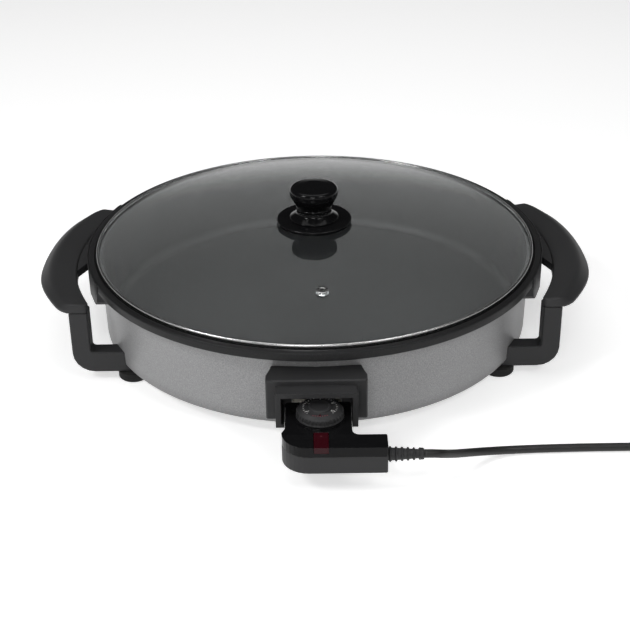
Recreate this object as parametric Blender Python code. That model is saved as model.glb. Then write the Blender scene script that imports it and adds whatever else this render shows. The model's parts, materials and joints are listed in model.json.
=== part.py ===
"""Round electric grill pan with a loose glass lid, two leg handles and a plug-in thermostat control.

Metres, +Z up. The pan's own axis carries every measure: X to the right, Y to the back.
PAN_Y then moves that axis so that the origin is the middle of the object's footprint.
"""

import math

import bmesh
import bpy
from mathutils import Matrix, Vector

# General clearances and mesh counts
GAP = 0.0003
MERGE_DISTANCE = 0.00001
OVERRUN = 0.004
ROUND_STEPS = 48
SMALL_STEPS = 12
TINY_STEPS = 8
MEDIUM_STEPS = 20
CORNER_STEPS = 3

# Pan
RIM_RADIUS = 0.210
RIM_TOP = 0.089
RIM_FACE = 0.008
RIM_BAND = 0.006
RIM_EDGE = 0.0012
SEAT_DEPTH = 0.0035
RIM_OVERHANG = 0.011
WALL_TAPER = 0.0015
WALL = 0.003
BASE_UNDERSIDE = 0.012
BASE_THICKNESS = 0.004
BASE_CORNER = 0.006
FLOOR_CORNER = 0.008

# Glass lid, its steel band and its knob
LID_PLAY = 0.002
BAND_SHEET = 0.0007
BAND_LIP = 0.0020
GLASS = 0.004
DOME_RISE = 0.0182
KNOB_HOLE_RADIUS = 0.004
KNOB_DISC_RADIUS = 0.0348
KNOB_DISC_THICKNESS = 0.0024
KNOB_DISC_EDGE = 0.0008
KNOB_BASE_RADIUS = 0.0225
KNOB_BASE_HEIGHT = 0.0012
KNOB_CONE_HEIGHT = 0.0042
KNOB_NECK_RADIUS = 0.0156
KNOB_HEAD_RADIUS = 0.0228
KNOB_HEIGHT = 0.0318
KNOB_BORE_DEPTH = 0.016
KNOB_NECK_SHARE = 0.155
KNOB_FLARE_SHARE = 0.67
KNOB_SCREW_RADIUS = 0.002
KNOB_SCREW_HEAD_RADIUS = 0.0045
KNOB_SCREW_HEAD = 0.0028
KNOB_WASHER_RADIUS = 0.011
KNOB_WASHER_THICKNESS = 0.0012
VENT_X = 0.006
VENT_INSET = 0.083
VENT_HOLE_RADIUS = 0.004
VENT_FLANGE_RADIUS = 0.0055
VENT_FLANGE = 0.0009
VENT_BORE_RADIUS = 0.00225

# Side handles: a crescent grip on two legs, held to the pan by a bracket under the rim
GRIP_STANDOFF = 0.011
GRIP_BREADTH = 0.0349
GRIP_OUTER_RADIUS = 0.175
GRIP_HALF_LENGTH = 0.102
GRIP_TOP = 0.078
GRIP_END_THICKNESS = 0.0095
GRIP_MIDDLE_THICKNESS = 0.020
GRIP_STATIONS = 14
GRIP_TIP_ROUND = 0.0012
GRIP_CROWN_SHARE = 0.67
GRIP_BULGE_SHARE = 0.37
GRIP_CORNER = 0.008
LEG_SETBACK = 0.010
LEG_DEPTH = 0.0165
LEG_WIDTH = 0.016
LEG_END_INSET = 0.001
LEG_BAR_BOTTOM = 0.0086
LEG_BAR_TOP = 0.0284
LEG_OUTER_CORNER = 0.019
LEG_INNER_CORNER = 0.003
LEG_EDGE = 0.001
LUG_HALF_LENGTH = 0.086
LUG_BOTTOM = 0.064
LUG_CORNER = 0.0155
LUG_THICKNESS = 0.012
LUG_BACK_SHARE = 0.85
WEB_BOTTOM = 0.067
WEB_TOP = 0.074
WEB_HALF_WIDTH = 0.012
WEB_FLARE = 0.029
FOOT_RADIUS = 0.014
FOOT_SETBACK = 0.036
FOOT_CHAMFER = 0.0015
FOOT_SCREW_RADIUS = 0.0018
FOOT_SCREW_HEAD_RADIUS = 0.0036
FOOT_SCREW_HEAD = 0.0026
FOOT_SCREW_RECESS = 0.0008
FOOT_SCREW_BITE = 0.0022

# Connector guard on the front of the pan
GUARD_HALF_WIDTH = 0.0408
GUARD_TOP = 0.070
GUARD_BOTTOM = 0.0335
GUARD_STANDOUT = 0.010
GUARD_CORNER = 0.0035
GUARD_EDGE = 0.0010
SLEEVE_LENGTH = 0.012
SLEEVE_WALL = 0.0045
SLEEVE_HALF_WIDTH = 0.033
SLEEVE_TOP = 0.065
SLEEVE_CORNER = 0.002
SLEEVE_LEDGE = 0.003
GUARD_PLATE = 0.0035
GUARD_SCREW_X = 0.018
GUARD_SCREW_Z = 0.0535
GUARD_SCREW_RADIUS = 0.0017
GUARD_SCREW_HEAD_RADIUS = 0.0034
GUARD_SCREW_HEAD = 0.0022

# Heating element, its terminals and its clips
ELEMENT_RADIUS = 0.00325
ELEMENT_INSET = 0.079
ELEMENT_BEND = 0.014
ELEMENT_RISE_BEND = 0.008
ELEMENT_RING_STEPS = 32
ELEMENT_BEND_STEPS = 4
PIN_SPACING = 0.025
PIN_RADIUS = 0.003
PIN_HEIGHT = 0.031
PIN_LENGTH = 0.022
PIN_SEAT = 0.005
PIN_TIP = 0.001
BLOCK_HALF_WIDTH = 0.020
BLOCK_BOTTOM = 0.020
BLOCK_TOP = 0.042
BLOCK_SETBACK = 0.0005
BLOCK_CORNER = 0.003
LEAD_SETBACK = 0.005
LEAD_SEAT = 0.004
CLIP_SHEET = 0.001
CLIP_WIDTH = 0.012
CLIP_FOOT = 0.009
CLIP_CLEARANCE = 0.0006
CLIP_COUNT = 3

# Thermostat control
CONTROL_LEFT = -0.0280
CONTROL_NECK_LEFT = -0.0255
CONTROL_NECK_RIGHT = 0.0275
CONTROL_AIR = 0.001
CONTROL_DEPTH = 0.0655
CONTROL_ARM_END = 0.0545
CONTROL_ARM_DEPTH = 0.0185
CONTROL_SHOULDER = 0.0085
CONTROL_FRONT_ROUND = 0.0215
CONTROL_SHOULDER_ROUND = 0.005
CONTROL_ARM_ROUND = 0.006
CONTROL_CORNER = 0.0015
CONTROL_BOTTOM = 0.020
CONTROL_SPLIT = 0.035
CONTROL_TOP = 0.0435
CONTROL_TOP_ROUND = 0.006
SHELL_WALL = 0.0026
SHELL_FLOOR = 0.003
PLINTH_RADIUS = 0.0205
PLINTH_HEIGHT = 0.0015
LENS_X = 0.003
LENS_WIDTH = 0.0115
LENS_DEPTH = 0.0215
LENS_BOTTOM = 0.0385
LAMP_RADIUS = 0.00275
LAMP_LENGTH = 0.014
SHELL_SCREW_LEFT_X = -0.010
SHELL_SCREW_LEFT_INSET = 0.014
SHELL_SCREW_RIGHT_X = 0.043
SHELL_SCREW_RIGHT_INSET = 0.010
SHELL_SCREW_RADIUS = 0.0014
SHELL_SCREW_HEAD_RADIUS = 0.0029
SHELL_SCREW_HEAD = 0.0015
SHELL_SCREW_LENGTH = 0.012
SHELL_POST_RADIUS = 0.0036
SCREW_PLAY = 0.0003
SOCKET_WALL = 0.0010
SOCKET_PLAY = 0.0003
SOCKET_LENGTH = 0.015
CARRIER_DEPTH = 0.011
CARRIER_HALF_WIDTH = 0.020
CARRIER_TOP = 0.0385
CARRIER_SETBACK = 0.001
PROBE_RADIUS = 0.003
PROBE_END_PLAY = 0.0005
FRAME_SHEET = 0.0012
FRAME_HALF_WIDTH = 0.011
FRAME_DEPTH = 0.017
FRAME_TOP = 0.0345
BLADE_HEIGHT = 0.030
BLADE_SHEET = 0.0006
RELIEF_INSET = 0.010
RELIEF_HEIGHT = 0.0305
RELIEF_LENGTH = 0.028
RELIEF_ROOT_RADIUS = 0.0062
RELIEF_END_RADIUS = 0.0047
RELIEF_RIBS = 4
RELIEF_RIB_HEIGHT = 0.0011
RELIEF_RIB_SHARES = (0.55, 0.65, 0.95)

# Dial
DIAL_X = 0.0025
DIAL_INSET = 0.0215
DIAL_RADIUS = 0.0193
DIAL_HEIGHT = 0.0078
DIAL_TOP_RADIUS = 0.0150
DIAL_RECESS = 0.0009
DIAL_HUB_RADIUS = 0.0095
DIAL_HUB_HEIGHT = 0.0012
DIAL_SHAFT_RADIUS = 0.0025
DIAL_SHAFT_SEAT = 0.005
POINTER_RADIUS = 0.0011

# Supply cord, coil and plug
CORD_RADIUS = 0.0034
CORD_POINT_SHARE = 4.4
COIL_TURNS = 4.25
COIL_LAYER_TURNS = 2
COIL_TURN_POINTS = 24
COIL_PITCH = 0.0075
COIL_LAYER = 0.0074
COIL_RADIUS = 0.04475
COIL_HEIGHT = 0.0048
TIE_SHEET = 0.0009
TIE_WIDTH = 0.008
TIE_ANGLE = math.radians(205)
PLUG_FACE_RADIUS = 0.0185
PLUG_FACE_LENGTH = 0.010
PLUG_GRIP_RADIUS = 0.014
PLUG_GRIP_LENGTH = 0.022
PLUG_NECK_RADIUS = 0.0055
PLUG_NECK_LENGTH = 0.010
PLUG_PIN_RADIUS = 0.0024
PLUG_PIN_LENGTH = 0.019
PLUG_PIN_SPACING = 0.019
PLUG_RECESS = 0.004
PLUG_WAIST_SHARE = 0.9
PLUG_WAIST_PLACE_SHARE = 0.85
PLUG_MOUTH_SHARE = 0.86

# Places that follow from the sizes above
WALL_RADIUS = RIM_RADIUS - RIM_OVERHANG
VENT_Y = VENT_INSET - RIM_RADIUS
GRIP_INNER_RADIUS = RIM_RADIUS + GRIP_STANDOFF
GRIP_REACH = GRIP_INNER_RADIUS + GRIP_BREADTH
LEG_X = RIM_RADIUS - LEG_SETBACK
FOOT_X = LEG_X - FOOT_SETBACK
GUARD_FRONT = RIM_RADIUS + GUARD_STANDOUT
SLEEVE_FRONT = GUARD_FRONT + SLEEVE_LENGTH
ELEMENT_RING_RADIUS = WALL_RADIUS - ELEMENT_INSET
BLOCK_FRONT = RIM_RADIUS - BLOCK_SETBACK
LEAD_Y = LEAD_SETBACK - BLOCK_FRONT
CONTROL_BACK = -BLOCK_FRONT - CONTROL_AIR
CONTROL_FRONT = CONTROL_BACK - CONTROL_DEPTH
CONTROL_ARM_BACK = CONTROL_FRONT + CONTROL_ARM_DEPTH
CONTROL_SHOULDER_Y = CONTROL_ARM_BACK + CONTROL_SHOULDER
LENS_BACK = CONTROL_FRONT + LENS_DEPTH
SHELL_SCREWS = (
    (SHELL_SCREW_LEFT_X, CONTROL_FRONT + SHELL_SCREW_LEFT_INSET),
    (SHELL_SCREW_RIGHT_X, CONTROL_FRONT + SHELL_SCREW_RIGHT_INSET),
)
RELIEF_Y = CONTROL_FRONT + RELIEF_INSET
DIAL_Y = CONTROL_BACK - DIAL_INSET
PAN_Y = (-CONTROL_FRONT - RIM_RADIUS) / 2
RIM_UNDERSIDE = RIM_TOP - RIM_FACE
SEAT_RADIUS = RIM_RADIUS - RIM_BAND
SEAT_Z = RIM_TOP - SEAT_DEPTH
FLOOR_Z = BASE_UNDERSIDE + BASE_THICKNESS
BASE_RADIUS = WALL_RADIUS - WALL_TAPER
BAND_RADIUS = SEAT_RADIUS - LID_PLAY
BAND_BOTTOM = SEAT_Z + GAP
GLASS_RADIUS = BAND_RADIUS - BAND_SHEET - GAP
GLASS_BOTTOM = BAND_BOTTOM + BAND_SHEET + GAP
GLASS_EDGE_TOP = GLASS_BOTTOM + GLASS
BAND_TOP = GLASS_EDGE_TOP + GAP + BAND_SHEET
DOME_START = BAND_RADIUS - BAND_LIP - GAP
DOME_RADIUS = (DOME_START**2 + DOME_RISE**2) / (2 * DOME_RISE)
KNOB_DISC_TOP = GLASS_EDGE_TOP + DOME_RISE + GAP + KNOB_DISC_THICKNESS
KNOB_BOTTOM = KNOB_DISC_TOP + GAP
GRIP_OUTER_CENTRE = GRIP_REACH - GRIP_OUTER_RADIUS
GRIP_END_BOTTOM = GRIP_TOP - GRIP_END_THICKNESS
LEG_OUTER_Y = GRIP_HALF_LENGTH - LEG_END_INSET
LEG_INNER_Y = LEG_OUTER_Y - LEG_WIDTH
LEG_Y = (LEG_OUTER_Y + LEG_INNER_Y) / 2
LEG_TOP = GRIP_END_BOTTOM - GAP
FOOT_TOP = LEG_BAR_BOTTOM - GAP
SHELL_FLOOR_Z = CONTROL_BOTTOM + SHELL_FLOOR
SHELL_CEILING_Z = CONTROL_TOP - SHELL_WALL
PLINTH_Z = CONTROL_TOP + PLINTH_HEIGHT
DIAL_BOTTOM = PLINTH_Z + GAP
BLADE_TOP = BLADE_HEIGHT + BLADE_SHEET

# The cord lies in places measured from the control's arm end, at the strain relief
CORD_ORIGIN = Vector((CONTROL_ARM_END, RELIEF_Y, 0))
CORD_ROUTE = (
    (0.0440, 0.0040, 0.0272),
    (0.0538, 0.0135, 0.0205),
    (0.0678, 0.0255, 0.0132),
    (0.0819, 0.0340, 0.0082),
    (0.0998, 0.0402, 0.0048),
    (0.1173, 0.0426, 0.0038),
    (0.1435, 0.0436, 0.0037),
    (0.1762, 0.0440, 0.0037),
    (0.2282, 0.0440, 0.0037),
)
COIL_START = CORD_ORIGIN + Vector((0.2675, 0.0440, COIL_HEIGHT))
COIL_CENTRE = COIL_START + Vector((0, COIL_RADIUS, 0))
PLUG_AXIS = CORD_ORIGIN + Vector((0.3025, 0.1760, PLUG_FACE_RADIUS + GAP))
TAIL_ROUTE = (
    (0.3147, 0.1140, 0.0092),
    (0.3165, 0.1280, 0.0066),
    (0.3135, 0.1420, 0.0090),
)


def material(name, colour, roughness, metallic=0.0, alpha=1.0):
    """A plain finish: base colour, roughness and metallic value."""
    made = bpy.data.materials.new(name)
    made.use_nodes = True
    shader = made.node_tree.nodes["Principled BSDF"]
    shader.inputs["Base Color"].default_value = (*colour, 1.0)
    shader.inputs["Roughness"].default_value = roughness
    shader.inputs["Metallic"].default_value = metallic
    shader.inputs["Alpha"].default_value = alpha
    return made


def empty(name, parent, place):
    """An axis that carries pieces."""
    axis = bpy.data.objects.new(name, None)
    axis.location = place
    axis.parent = parent
    bpy.context.scene.collection.objects.link(axis)
    return axis


def piece(name, bm, parent, finish, place=(0, 0, 0), turn=(0, 0, 0)):
    """Make an object of a bmesh, with its faces turned outwards."""
    bmesh.ops.recalc_face_normals(bm, faces=bm.faces)
    mesh = bpy.data.meshes.new(name)
    bm.to_mesh(mesh)
    bm.free()
    mesh.materials.append(finish)
    mesh.shade_smooth()
    mesh.set_sharp_from_angle(angle=math.radians(35))
    made = bpy.data.objects.new(name, mesh)
    made.location = place
    made.rotation_euler = turn
    made.parent = parent
    bpy.context.scene.collection.objects.link(made)
    return made


def guide(made):
    """Mark an object as a cutter, which is no piece of the product."""
    made.hide_render = True
    made.display_type = "WIRE"
    return made


def combine(target, other, operation):
    """Add a Boolean of another object."""
    step = target.modifiers.new(operation.title() + " " + other.name, "BOOLEAN")
    step.operation = operation
    step.object = other
    return target


def cut(target, cutter):
    return combine(target, cutter, "DIFFERENCE")


def arc(centre, radius, start, end, steps):
    """Points on an arc, both ends included."""
    angles = [start + (end - start) * i / steps for i in range(steps + 1)]
    return [(centre[0] + radius * math.cos(a), centre[1] + radius * math.sin(a)) for a in angles]


def rounded(corners, closed=True, steps=CORNER_STEPS):
    """An outline with each corner (u, v, radius) as an arc, which a short side makes smaller."""
    points = []
    count = len(corners)
    for i, (u, v, radius) in enumerate(corners):
        here = Vector((u, v))
        if radius == 0 or (not closed and i in (0, count - 1)):
            points.append((u, v))
            continue
        before = Vector(corners[i - 1][:2]) - here
        after = Vector(corners[(i + 1) % count][:2]) - here
        half = before.angle(after) / 2
        reach = min(radius / math.tan(half), before.length / 2, after.length / 2)
        radius = reach * math.tan(half)
        middle = (before.normalized() + after.normalized()).normalized()
        centre = here + middle * (radius / math.sin(half))
        first = here + before.normalized() * reach - centre
        last = here + after.normalized() * reach - centre
        sweep = first.angle_signed(last)
        for k in range(steps + 1):
            turned_by = Matrix.Rotation(-sweep * k / steps, 2) @ first
            points.append(tuple(centre + turned_by))
    return points


def turned(outline, closed=False, steps=ROUND_STEPS):
    """Spin a half section (radius, height) about the Z axis."""
    bm = bmesh.new()
    verts = [bm.verts.new((r, 0, z)) for r, z in outline]
    pairs = list(zip(verts, verts[1:] + verts[:1] * closed))
    edges = [bm.edges.new(pair) for pair in pairs]
    bmesh.ops.spin(
        bm, geom=verts + edges, axis=(0, 0, 1), cent=(0, 0, 0), angle=math.tau, steps=steps, use_merge=True
    )
    bmesh.ops.remove_doubles(bm, verts=bm.verts, dist=MERGE_DISTANCE)
    return bm


def extruded(outline, low, high, plane="XY"):
    """A prism on an outline in the XY, XZ or YZ plane, from low to high along the third axis."""
    place = {
        "XY": lambda u, v, w: (u, v, w),
        "XZ": lambda u, v, w: (u, w, v),
        "YZ": lambda u, v, w: (w, u, v),
    }[plane]
    bm = bmesh.new()
    face = bm.faces.new([bm.verts.new(place(u, v, low)) for u, v in outline])
    risen = bmesh.ops.extrude_face_region(bm, geom=[face])["geom"]
    moved = [v for v in risen if isinstance(v, bmesh.types.BMVert)]
    bmesh.ops.translate(bm, verts=moved, vec=place(0, 0, high - low))
    return bm


def lofted(rings):
    """Join rings of equal counts and close both ends."""
    bm = bmesh.new()
    loops = [[bm.verts.new(point) for point in ring] for ring in rings]
    for one, two in zip(loops, loops[1:]):
        for i in range(len(one)):
            bm.faces.new((one[i - 1], one[i], two[i], two[i - 1]))
    bm.faces.new(loops[0])
    bm.faces.new(loops[-1])
    return bm


def rod(radius, low, high, steps=TINY_STEPS, tip=0.0):
    """A round rod along Z, its far end bevelled by tip."""
    end = [(radius, high - tip), (radius - tip, high)] if tip else [(radius, high)]
    return turned([(0, low), (radius, low), *end, (0, high)], steps=steps)


def tube(inner, outer, low, high, steps=SMALL_STEPS):
    return turned([(inner, low), (outer, low), (outer, high), (inner, high)], closed=True, steps=steps)


def box(low, high):
    (x0, y0, z0), (x1, y1, z1) = low, high
    return extruded([(x0, y0), (x1, y0), (x1, y1), (x0, y1)], z0, z1)


def screw_outline(shank, length, head, head_height):
    """Half section of a pan-head screw: the head from 0 to its height, then the shank."""
    edge = head_height / 3
    return [
        (0, 0),
        (head - edge, 0),
        (head, edge),
        (head, head_height),
        (shank, head_height),
        (shank, length),
        (0, length),
    ]


def cord_piece(name, points, parent, finish, resolution):
    """A round tube along points, with closed ends."""
    curve = bpy.data.curves.new(name, "CURVE")
    curve.dimensions = "3D"
    curve.bevel_depth = CORD_RADIUS
    curve.bevel_resolution = resolution
    curve.use_fill_caps = True
    curve.materials.append(finish)
    spline = curve.splines.new("POLY")
    spline.points.add(len(points) - 1)
    for slot, point in zip(spline.points, points):
        slot.co = (*point, 1.0)
    made = bpy.data.objects.new(name, curve)
    made.parent = parent
    bpy.context.scene.collection.objects.link(made)
    return made


def smooth_route(route, spacing):
    """Even points on a Catmull-Rom curve through a route, whose first and last stretches stay straight."""
    knots = [Vector(p) for p in route]
    knots = [2 * knots[0] - knots[1]] + knots + [2 * knots[-1] - knots[-2]]
    fine = []
    for a, b, c, d in zip(knots, knots[1:], knots[2:], knots[3:]):
        for k in range(12):
            t = k / 12
            bend = 2 * a - 5 * b + 4 * c - d
            twist = 3 * b - a - 3 * c + d
            fine.append((2 * b + (c - a) * t + bend * t**2 + twist * t**3) / 2)
    fine.append(knots[-2])
    lengths = [0.0]
    for one, two in zip(fine, fine[1:]):
        lengths.append(lengths[-1] + (two - one).length)
    count = max(2, round(lengths[-1] / spacing))
    points = []
    for i in range(count + 1):
        want = lengths[-1] * i / count
        k = min(max(j for j in range(len(lengths)) if lengths[j] <= want), len(fine) - 2)
        share = (want - lengths[k]) / (lengths[k + 1] - lengths[k])
        points.append(fine[k].lerp(fine[k + 1], share))
    ends = (Vector(route[1]), Vector(route[-2]))
    straight = (ends[0] - Vector(route[0])).length
    lying = [p for p in points[1:-1] if min((p - end).length for end in ends) > straight]
    return [Vector(route[0]), ends[0], *lying, ends[1], Vector(route[-1])]


def shell_outline(clearance, top):
    """Half section of the pan's outside, grown by a clearance, from the axis at the top to the base."""
    foot = BASE_UNDERSIDE + BASE_CORNER
    corner_centre = (BASE_RADIUS - BASE_CORNER, foot)
    return [
        (0, top + clearance),
        (RIM_RADIUS + clearance, top + clearance),
        (RIM_RADIUS + clearance, RIM_UNDERSIDE - clearance),
        (WALL_RADIUS + clearance, RIM_UNDERSIDE - clearance),
        *arc(corner_centre, BASE_CORNER + clearance, 0, -math.pi / 2, CORNER_STEPS),
        (0, BASE_UNDERSIDE - clearance),
    ]


def dome_top(radius):
    """Height of the glass above a distance from the axis."""
    drop = DOME_RADIUS - math.sqrt(DOME_RADIUS**2 - radius**2)
    return GLASS_EDGE_TOP + DOME_RISE - drop


def build_pan(axis, finishes):
    inner_radius = BASE_RADIUS - WALL
    outline = rounded(
        [
            (0, FLOOR_Z, 0),
            (inner_radius, FLOOR_Z, FLOOR_CORNER),
            (WALL_RADIUS - WALL, SEAT_Z, 0),
            (SEAT_RADIUS, SEAT_Z, 0),
            (SEAT_RADIUS, RIM_TOP, RIM_EDGE),
            (RIM_RADIUS, RIM_TOP, RIM_EDGE),
            (RIM_RADIUS, RIM_UNDERSIDE, RIM_EDGE),
            (WALL_RADIUS, RIM_UNDERSIDE, 0),
            (BASE_RADIUS, BASE_UNDERSIDE, BASE_CORNER),
            (0, BASE_UNDERSIDE, 0),
        ],
        closed=False,
        steps=2,
    )
    pan = piece("pan_shell", turned(outline), axis, finishes["coating"])
    keep_out = guide(piece("pan_keep_out", turned(shell_outline(GAP, RIM_TOP)), axis, finishes["coating"]))
    for number, (x, y) in enumerate(foot_places()):
        bite = rod(
            FOOT_SCREW_RADIUS + SCREW_PLAY,
            BASE_UNDERSIDE - OVERRUN,
            BASE_UNDERSIDE + FOOT_SCREW_BITE + GAP,
        )
        cut(pan, guide(piece(f"screw_hole_{number}", bite, axis, finishes["steel"], (x, y, 0))))
    return keep_out


def foot_places():
    return [(side * FOOT_X, end * LEG_Y) for side in (-1, 1) for end in (-1, 1)]


def build_lid(axis, finishes):
    low, high = BAND_BOTTOM, BAND_TOP
    lip = BAND_RADIUS - BAND_LIP
    band_outline = [
        (lip, low),
        (BAND_RADIUS, low),
        (BAND_RADIUS, high - BAND_SHEET),
        (BAND_RADIUS - BAND_SHEET, high),
        (lip, high),
        (lip, high - BAND_SHEET),
        (BAND_RADIUS - BAND_SHEET, high - BAND_SHEET),
        (BAND_RADIUS - BAND_SHEET, low + BAND_SHEET),
        (lip, low + BAND_SHEET),
    ]
    piece("lid_band", turned(band_outline, closed=True), axis, finishes["steel"])

    dome_steps = 5
    reach = DOME_START - KNOB_HOLE_RADIUS
    radii = [KNOB_HOLE_RADIUS + reach * i / dome_steps for i in range(dome_steps + 1)]
    top = [(r, dome_top(r)) for r in reversed(radii)]
    bottom = [(r, dome_top(r) - GLASS) for r in radii]
    glass_outline = [(GLASS_RADIUS, GLASS_EDGE_TOP), *top, *bottom, (GLASS_RADIUS, GLASS_BOTTOM)]
    glass = piece("lid_glass", turned(glass_outline, closed=True), axis, finishes["glass"])

    vent_radius = math.hypot(VENT_X, VENT_Y)
    slope = math.asin(vent_radius / DOME_RADIUS)
    around = math.atan2(VENT_Y, VENT_X)
    heading = Matrix.Rotation(around, 3, "Z")
    lean = heading @ Matrix.Rotation(slope, 3, "Y") @ heading.inverted()
    turn = lean.to_euler()
    place = (VENT_X, VENT_Y, dome_top(vent_radius))
    hole = rod(VENT_HOLE_RADIUS, -GLASS - OVERRUN, OVERRUN, SMALL_STEPS)
    cut(glass, guide(piece("vent_hole", hole, axis, finishes["glass"], place, turn)))
    neck = VENT_HOLE_RADIUS - GAP
    bottom_face = -GLASS - GAP
    grommet_outline = [
        (VENT_BORE_RADIUS, bottom_face - VENT_FLANGE),
        (VENT_FLANGE_RADIUS, bottom_face - VENT_FLANGE),
        (VENT_FLANGE_RADIUS, bottom_face),
        (neck, bottom_face),
        (neck, GAP),
        (VENT_FLANGE_RADIUS, GAP),
        (VENT_FLANGE_RADIUS - VENT_FLANGE / 2, GAP + VENT_FLANGE),
        (VENT_BORE_RADIUS, GAP + VENT_FLANGE),
    ]
    grommet = turned(grommet_outline, closed=True, steps=SMALL_STEPS)
    piece("vent_grommet", grommet, axis, finishes["steel"], place, turn)
    build_knob(axis, finishes)


def build_knob(axis, finishes):
    """The knob on its guard disc, drawn down on the glass by a screw with a washer."""
    base = KNOB_BOTTOM
    bore = KNOB_SCREW_RADIUS + SCREW_PLAY
    lip_z = base + KNOB_BASE_HEIGHT
    neck_z = lip_z + KNOB_CONE_HEIGHT
    top = base + KNOB_HEIGHT
    head = top - neck_z
    outline = [
        (0, base + KNOB_BORE_DEPTH),
        (bore, base + KNOB_BORE_DEPTH),
        (bore, base),
        *rounded(
            [
                (bore, base, 0),
                (KNOB_BASE_RADIUS, base, 0),
                (KNOB_BASE_RADIUS, lip_z, KNOB_BASE_HEIGHT / 2),
                (KNOB_NECK_RADIUS, neck_z, KNOB_CONE_HEIGHT),
                (KNOB_NECK_RADIUS, neck_z + head * KNOB_NECK_SHARE, head / 6),
                (KNOB_HEAD_RADIUS, neck_z + head * KNOB_FLARE_SHARE, head / 3),
                (KNOB_HEAD_RADIUS, top, head / 5),
                (0, top, 0),
            ],
            closed=False,
        )[1:],
    ]
    piece("lid_knob", turned(outline, steps=MEDIUM_STEPS), axis, finishes["gloss_black"])

    half = KNOB_DISC_RADIUS / 2
    disc = [
        (bore, KNOB_DISC_TOP),
        (KNOB_DISC_RADIUS - KNOB_DISC_EDGE, KNOB_DISC_TOP),
        (KNOB_DISC_RADIUS, KNOB_DISC_TOP - KNOB_DISC_EDGE),
        (KNOB_DISC_RADIUS, dome_top(KNOB_DISC_RADIUS) + GAP),
        (half, dome_top(half) + GAP),
        (bore, dome_top(bore) + GAP),
    ]
    piece("knob_guard_disc", turned(disc, closed=True, steps=MEDIUM_STEPS), axis, finishes["gloss_black"])

    high = dome_top(KNOB_WASHER_RADIUS) - GLASS - GAP
    low = high - KNOB_WASHER_THICKNESS
    washer = [(bore, high), (KNOB_WASHER_RADIUS, high), (KNOB_WASHER_RADIUS, low), (bore, low)]
    piece("knob_washer", turned(washer, closed=True, steps=SMALL_STEPS), axis, finishes["steel"])

    start = low - GAP - KNOB_SCREW_HEAD
    length = base + KNOB_BORE_DEPTH - GAP - start
    screw = screw_outline(KNOB_SCREW_RADIUS, length, KNOB_SCREW_HEAD_RADIUS, KNOB_SCREW_HEAD)
    piece("knob_screw", turned(screw, steps=TINY_STEPS), axis, finishes["steel"], (0, 0, start))


def grip_section(y):
    """Inner and outer edge and underside of a grip at a place along it."""
    along = abs(y)
    inner = math.sqrt(GRIP_INNER_RADIUS**2 - along**2)
    outer = GRIP_OUTER_CENTRE + math.sqrt(GRIP_OUTER_RADIUS**2 - along**2)
    corner = GRIP_CORNER
    past = along - (GRIP_HALF_LENGTH - corner)
    if past > 0:
        outer -= corner - math.sqrt(max(0.0, corner**2 - past**2))
        inner += corner - math.sqrt(max(0.0, corner**2 - past**2))
    blend = min(1.0, along / LEG_INNER_Y)
    ease = blend * blend * (3 - 2 * blend)
    middle_bottom = GRIP_TOP - GRIP_MIDDLE_THICKNESS
    bottom = middle_bottom + (GRIP_END_BOTTOM - middle_bottom) * ease
    return inner, outer, bottom


def grip_ring(y, side, inset):
    """One cross-section of a grip: crowned on top, full on the outside, nearly flat underneath."""
    inner, outer, bottom = grip_section(y)
    inner += inset
    outer -= inset
    bottom += inset
    top = GRIP_TOP - inset
    width = outer - inner
    height = top - bottom
    corners = [
        (inner, bottom, height / 6),
        (outer - width / 20, bottom, width / 6),
        (outer, bottom + height * GRIP_BULGE_SHARE, width / 12),
        (inner + width * GRIP_CROWN_SHARE, top, width / 3),
        (inner, top - height / 5, height / 6),
    ]
    return [(side * x, y, z) for x, z in rounded(corners)]


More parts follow.
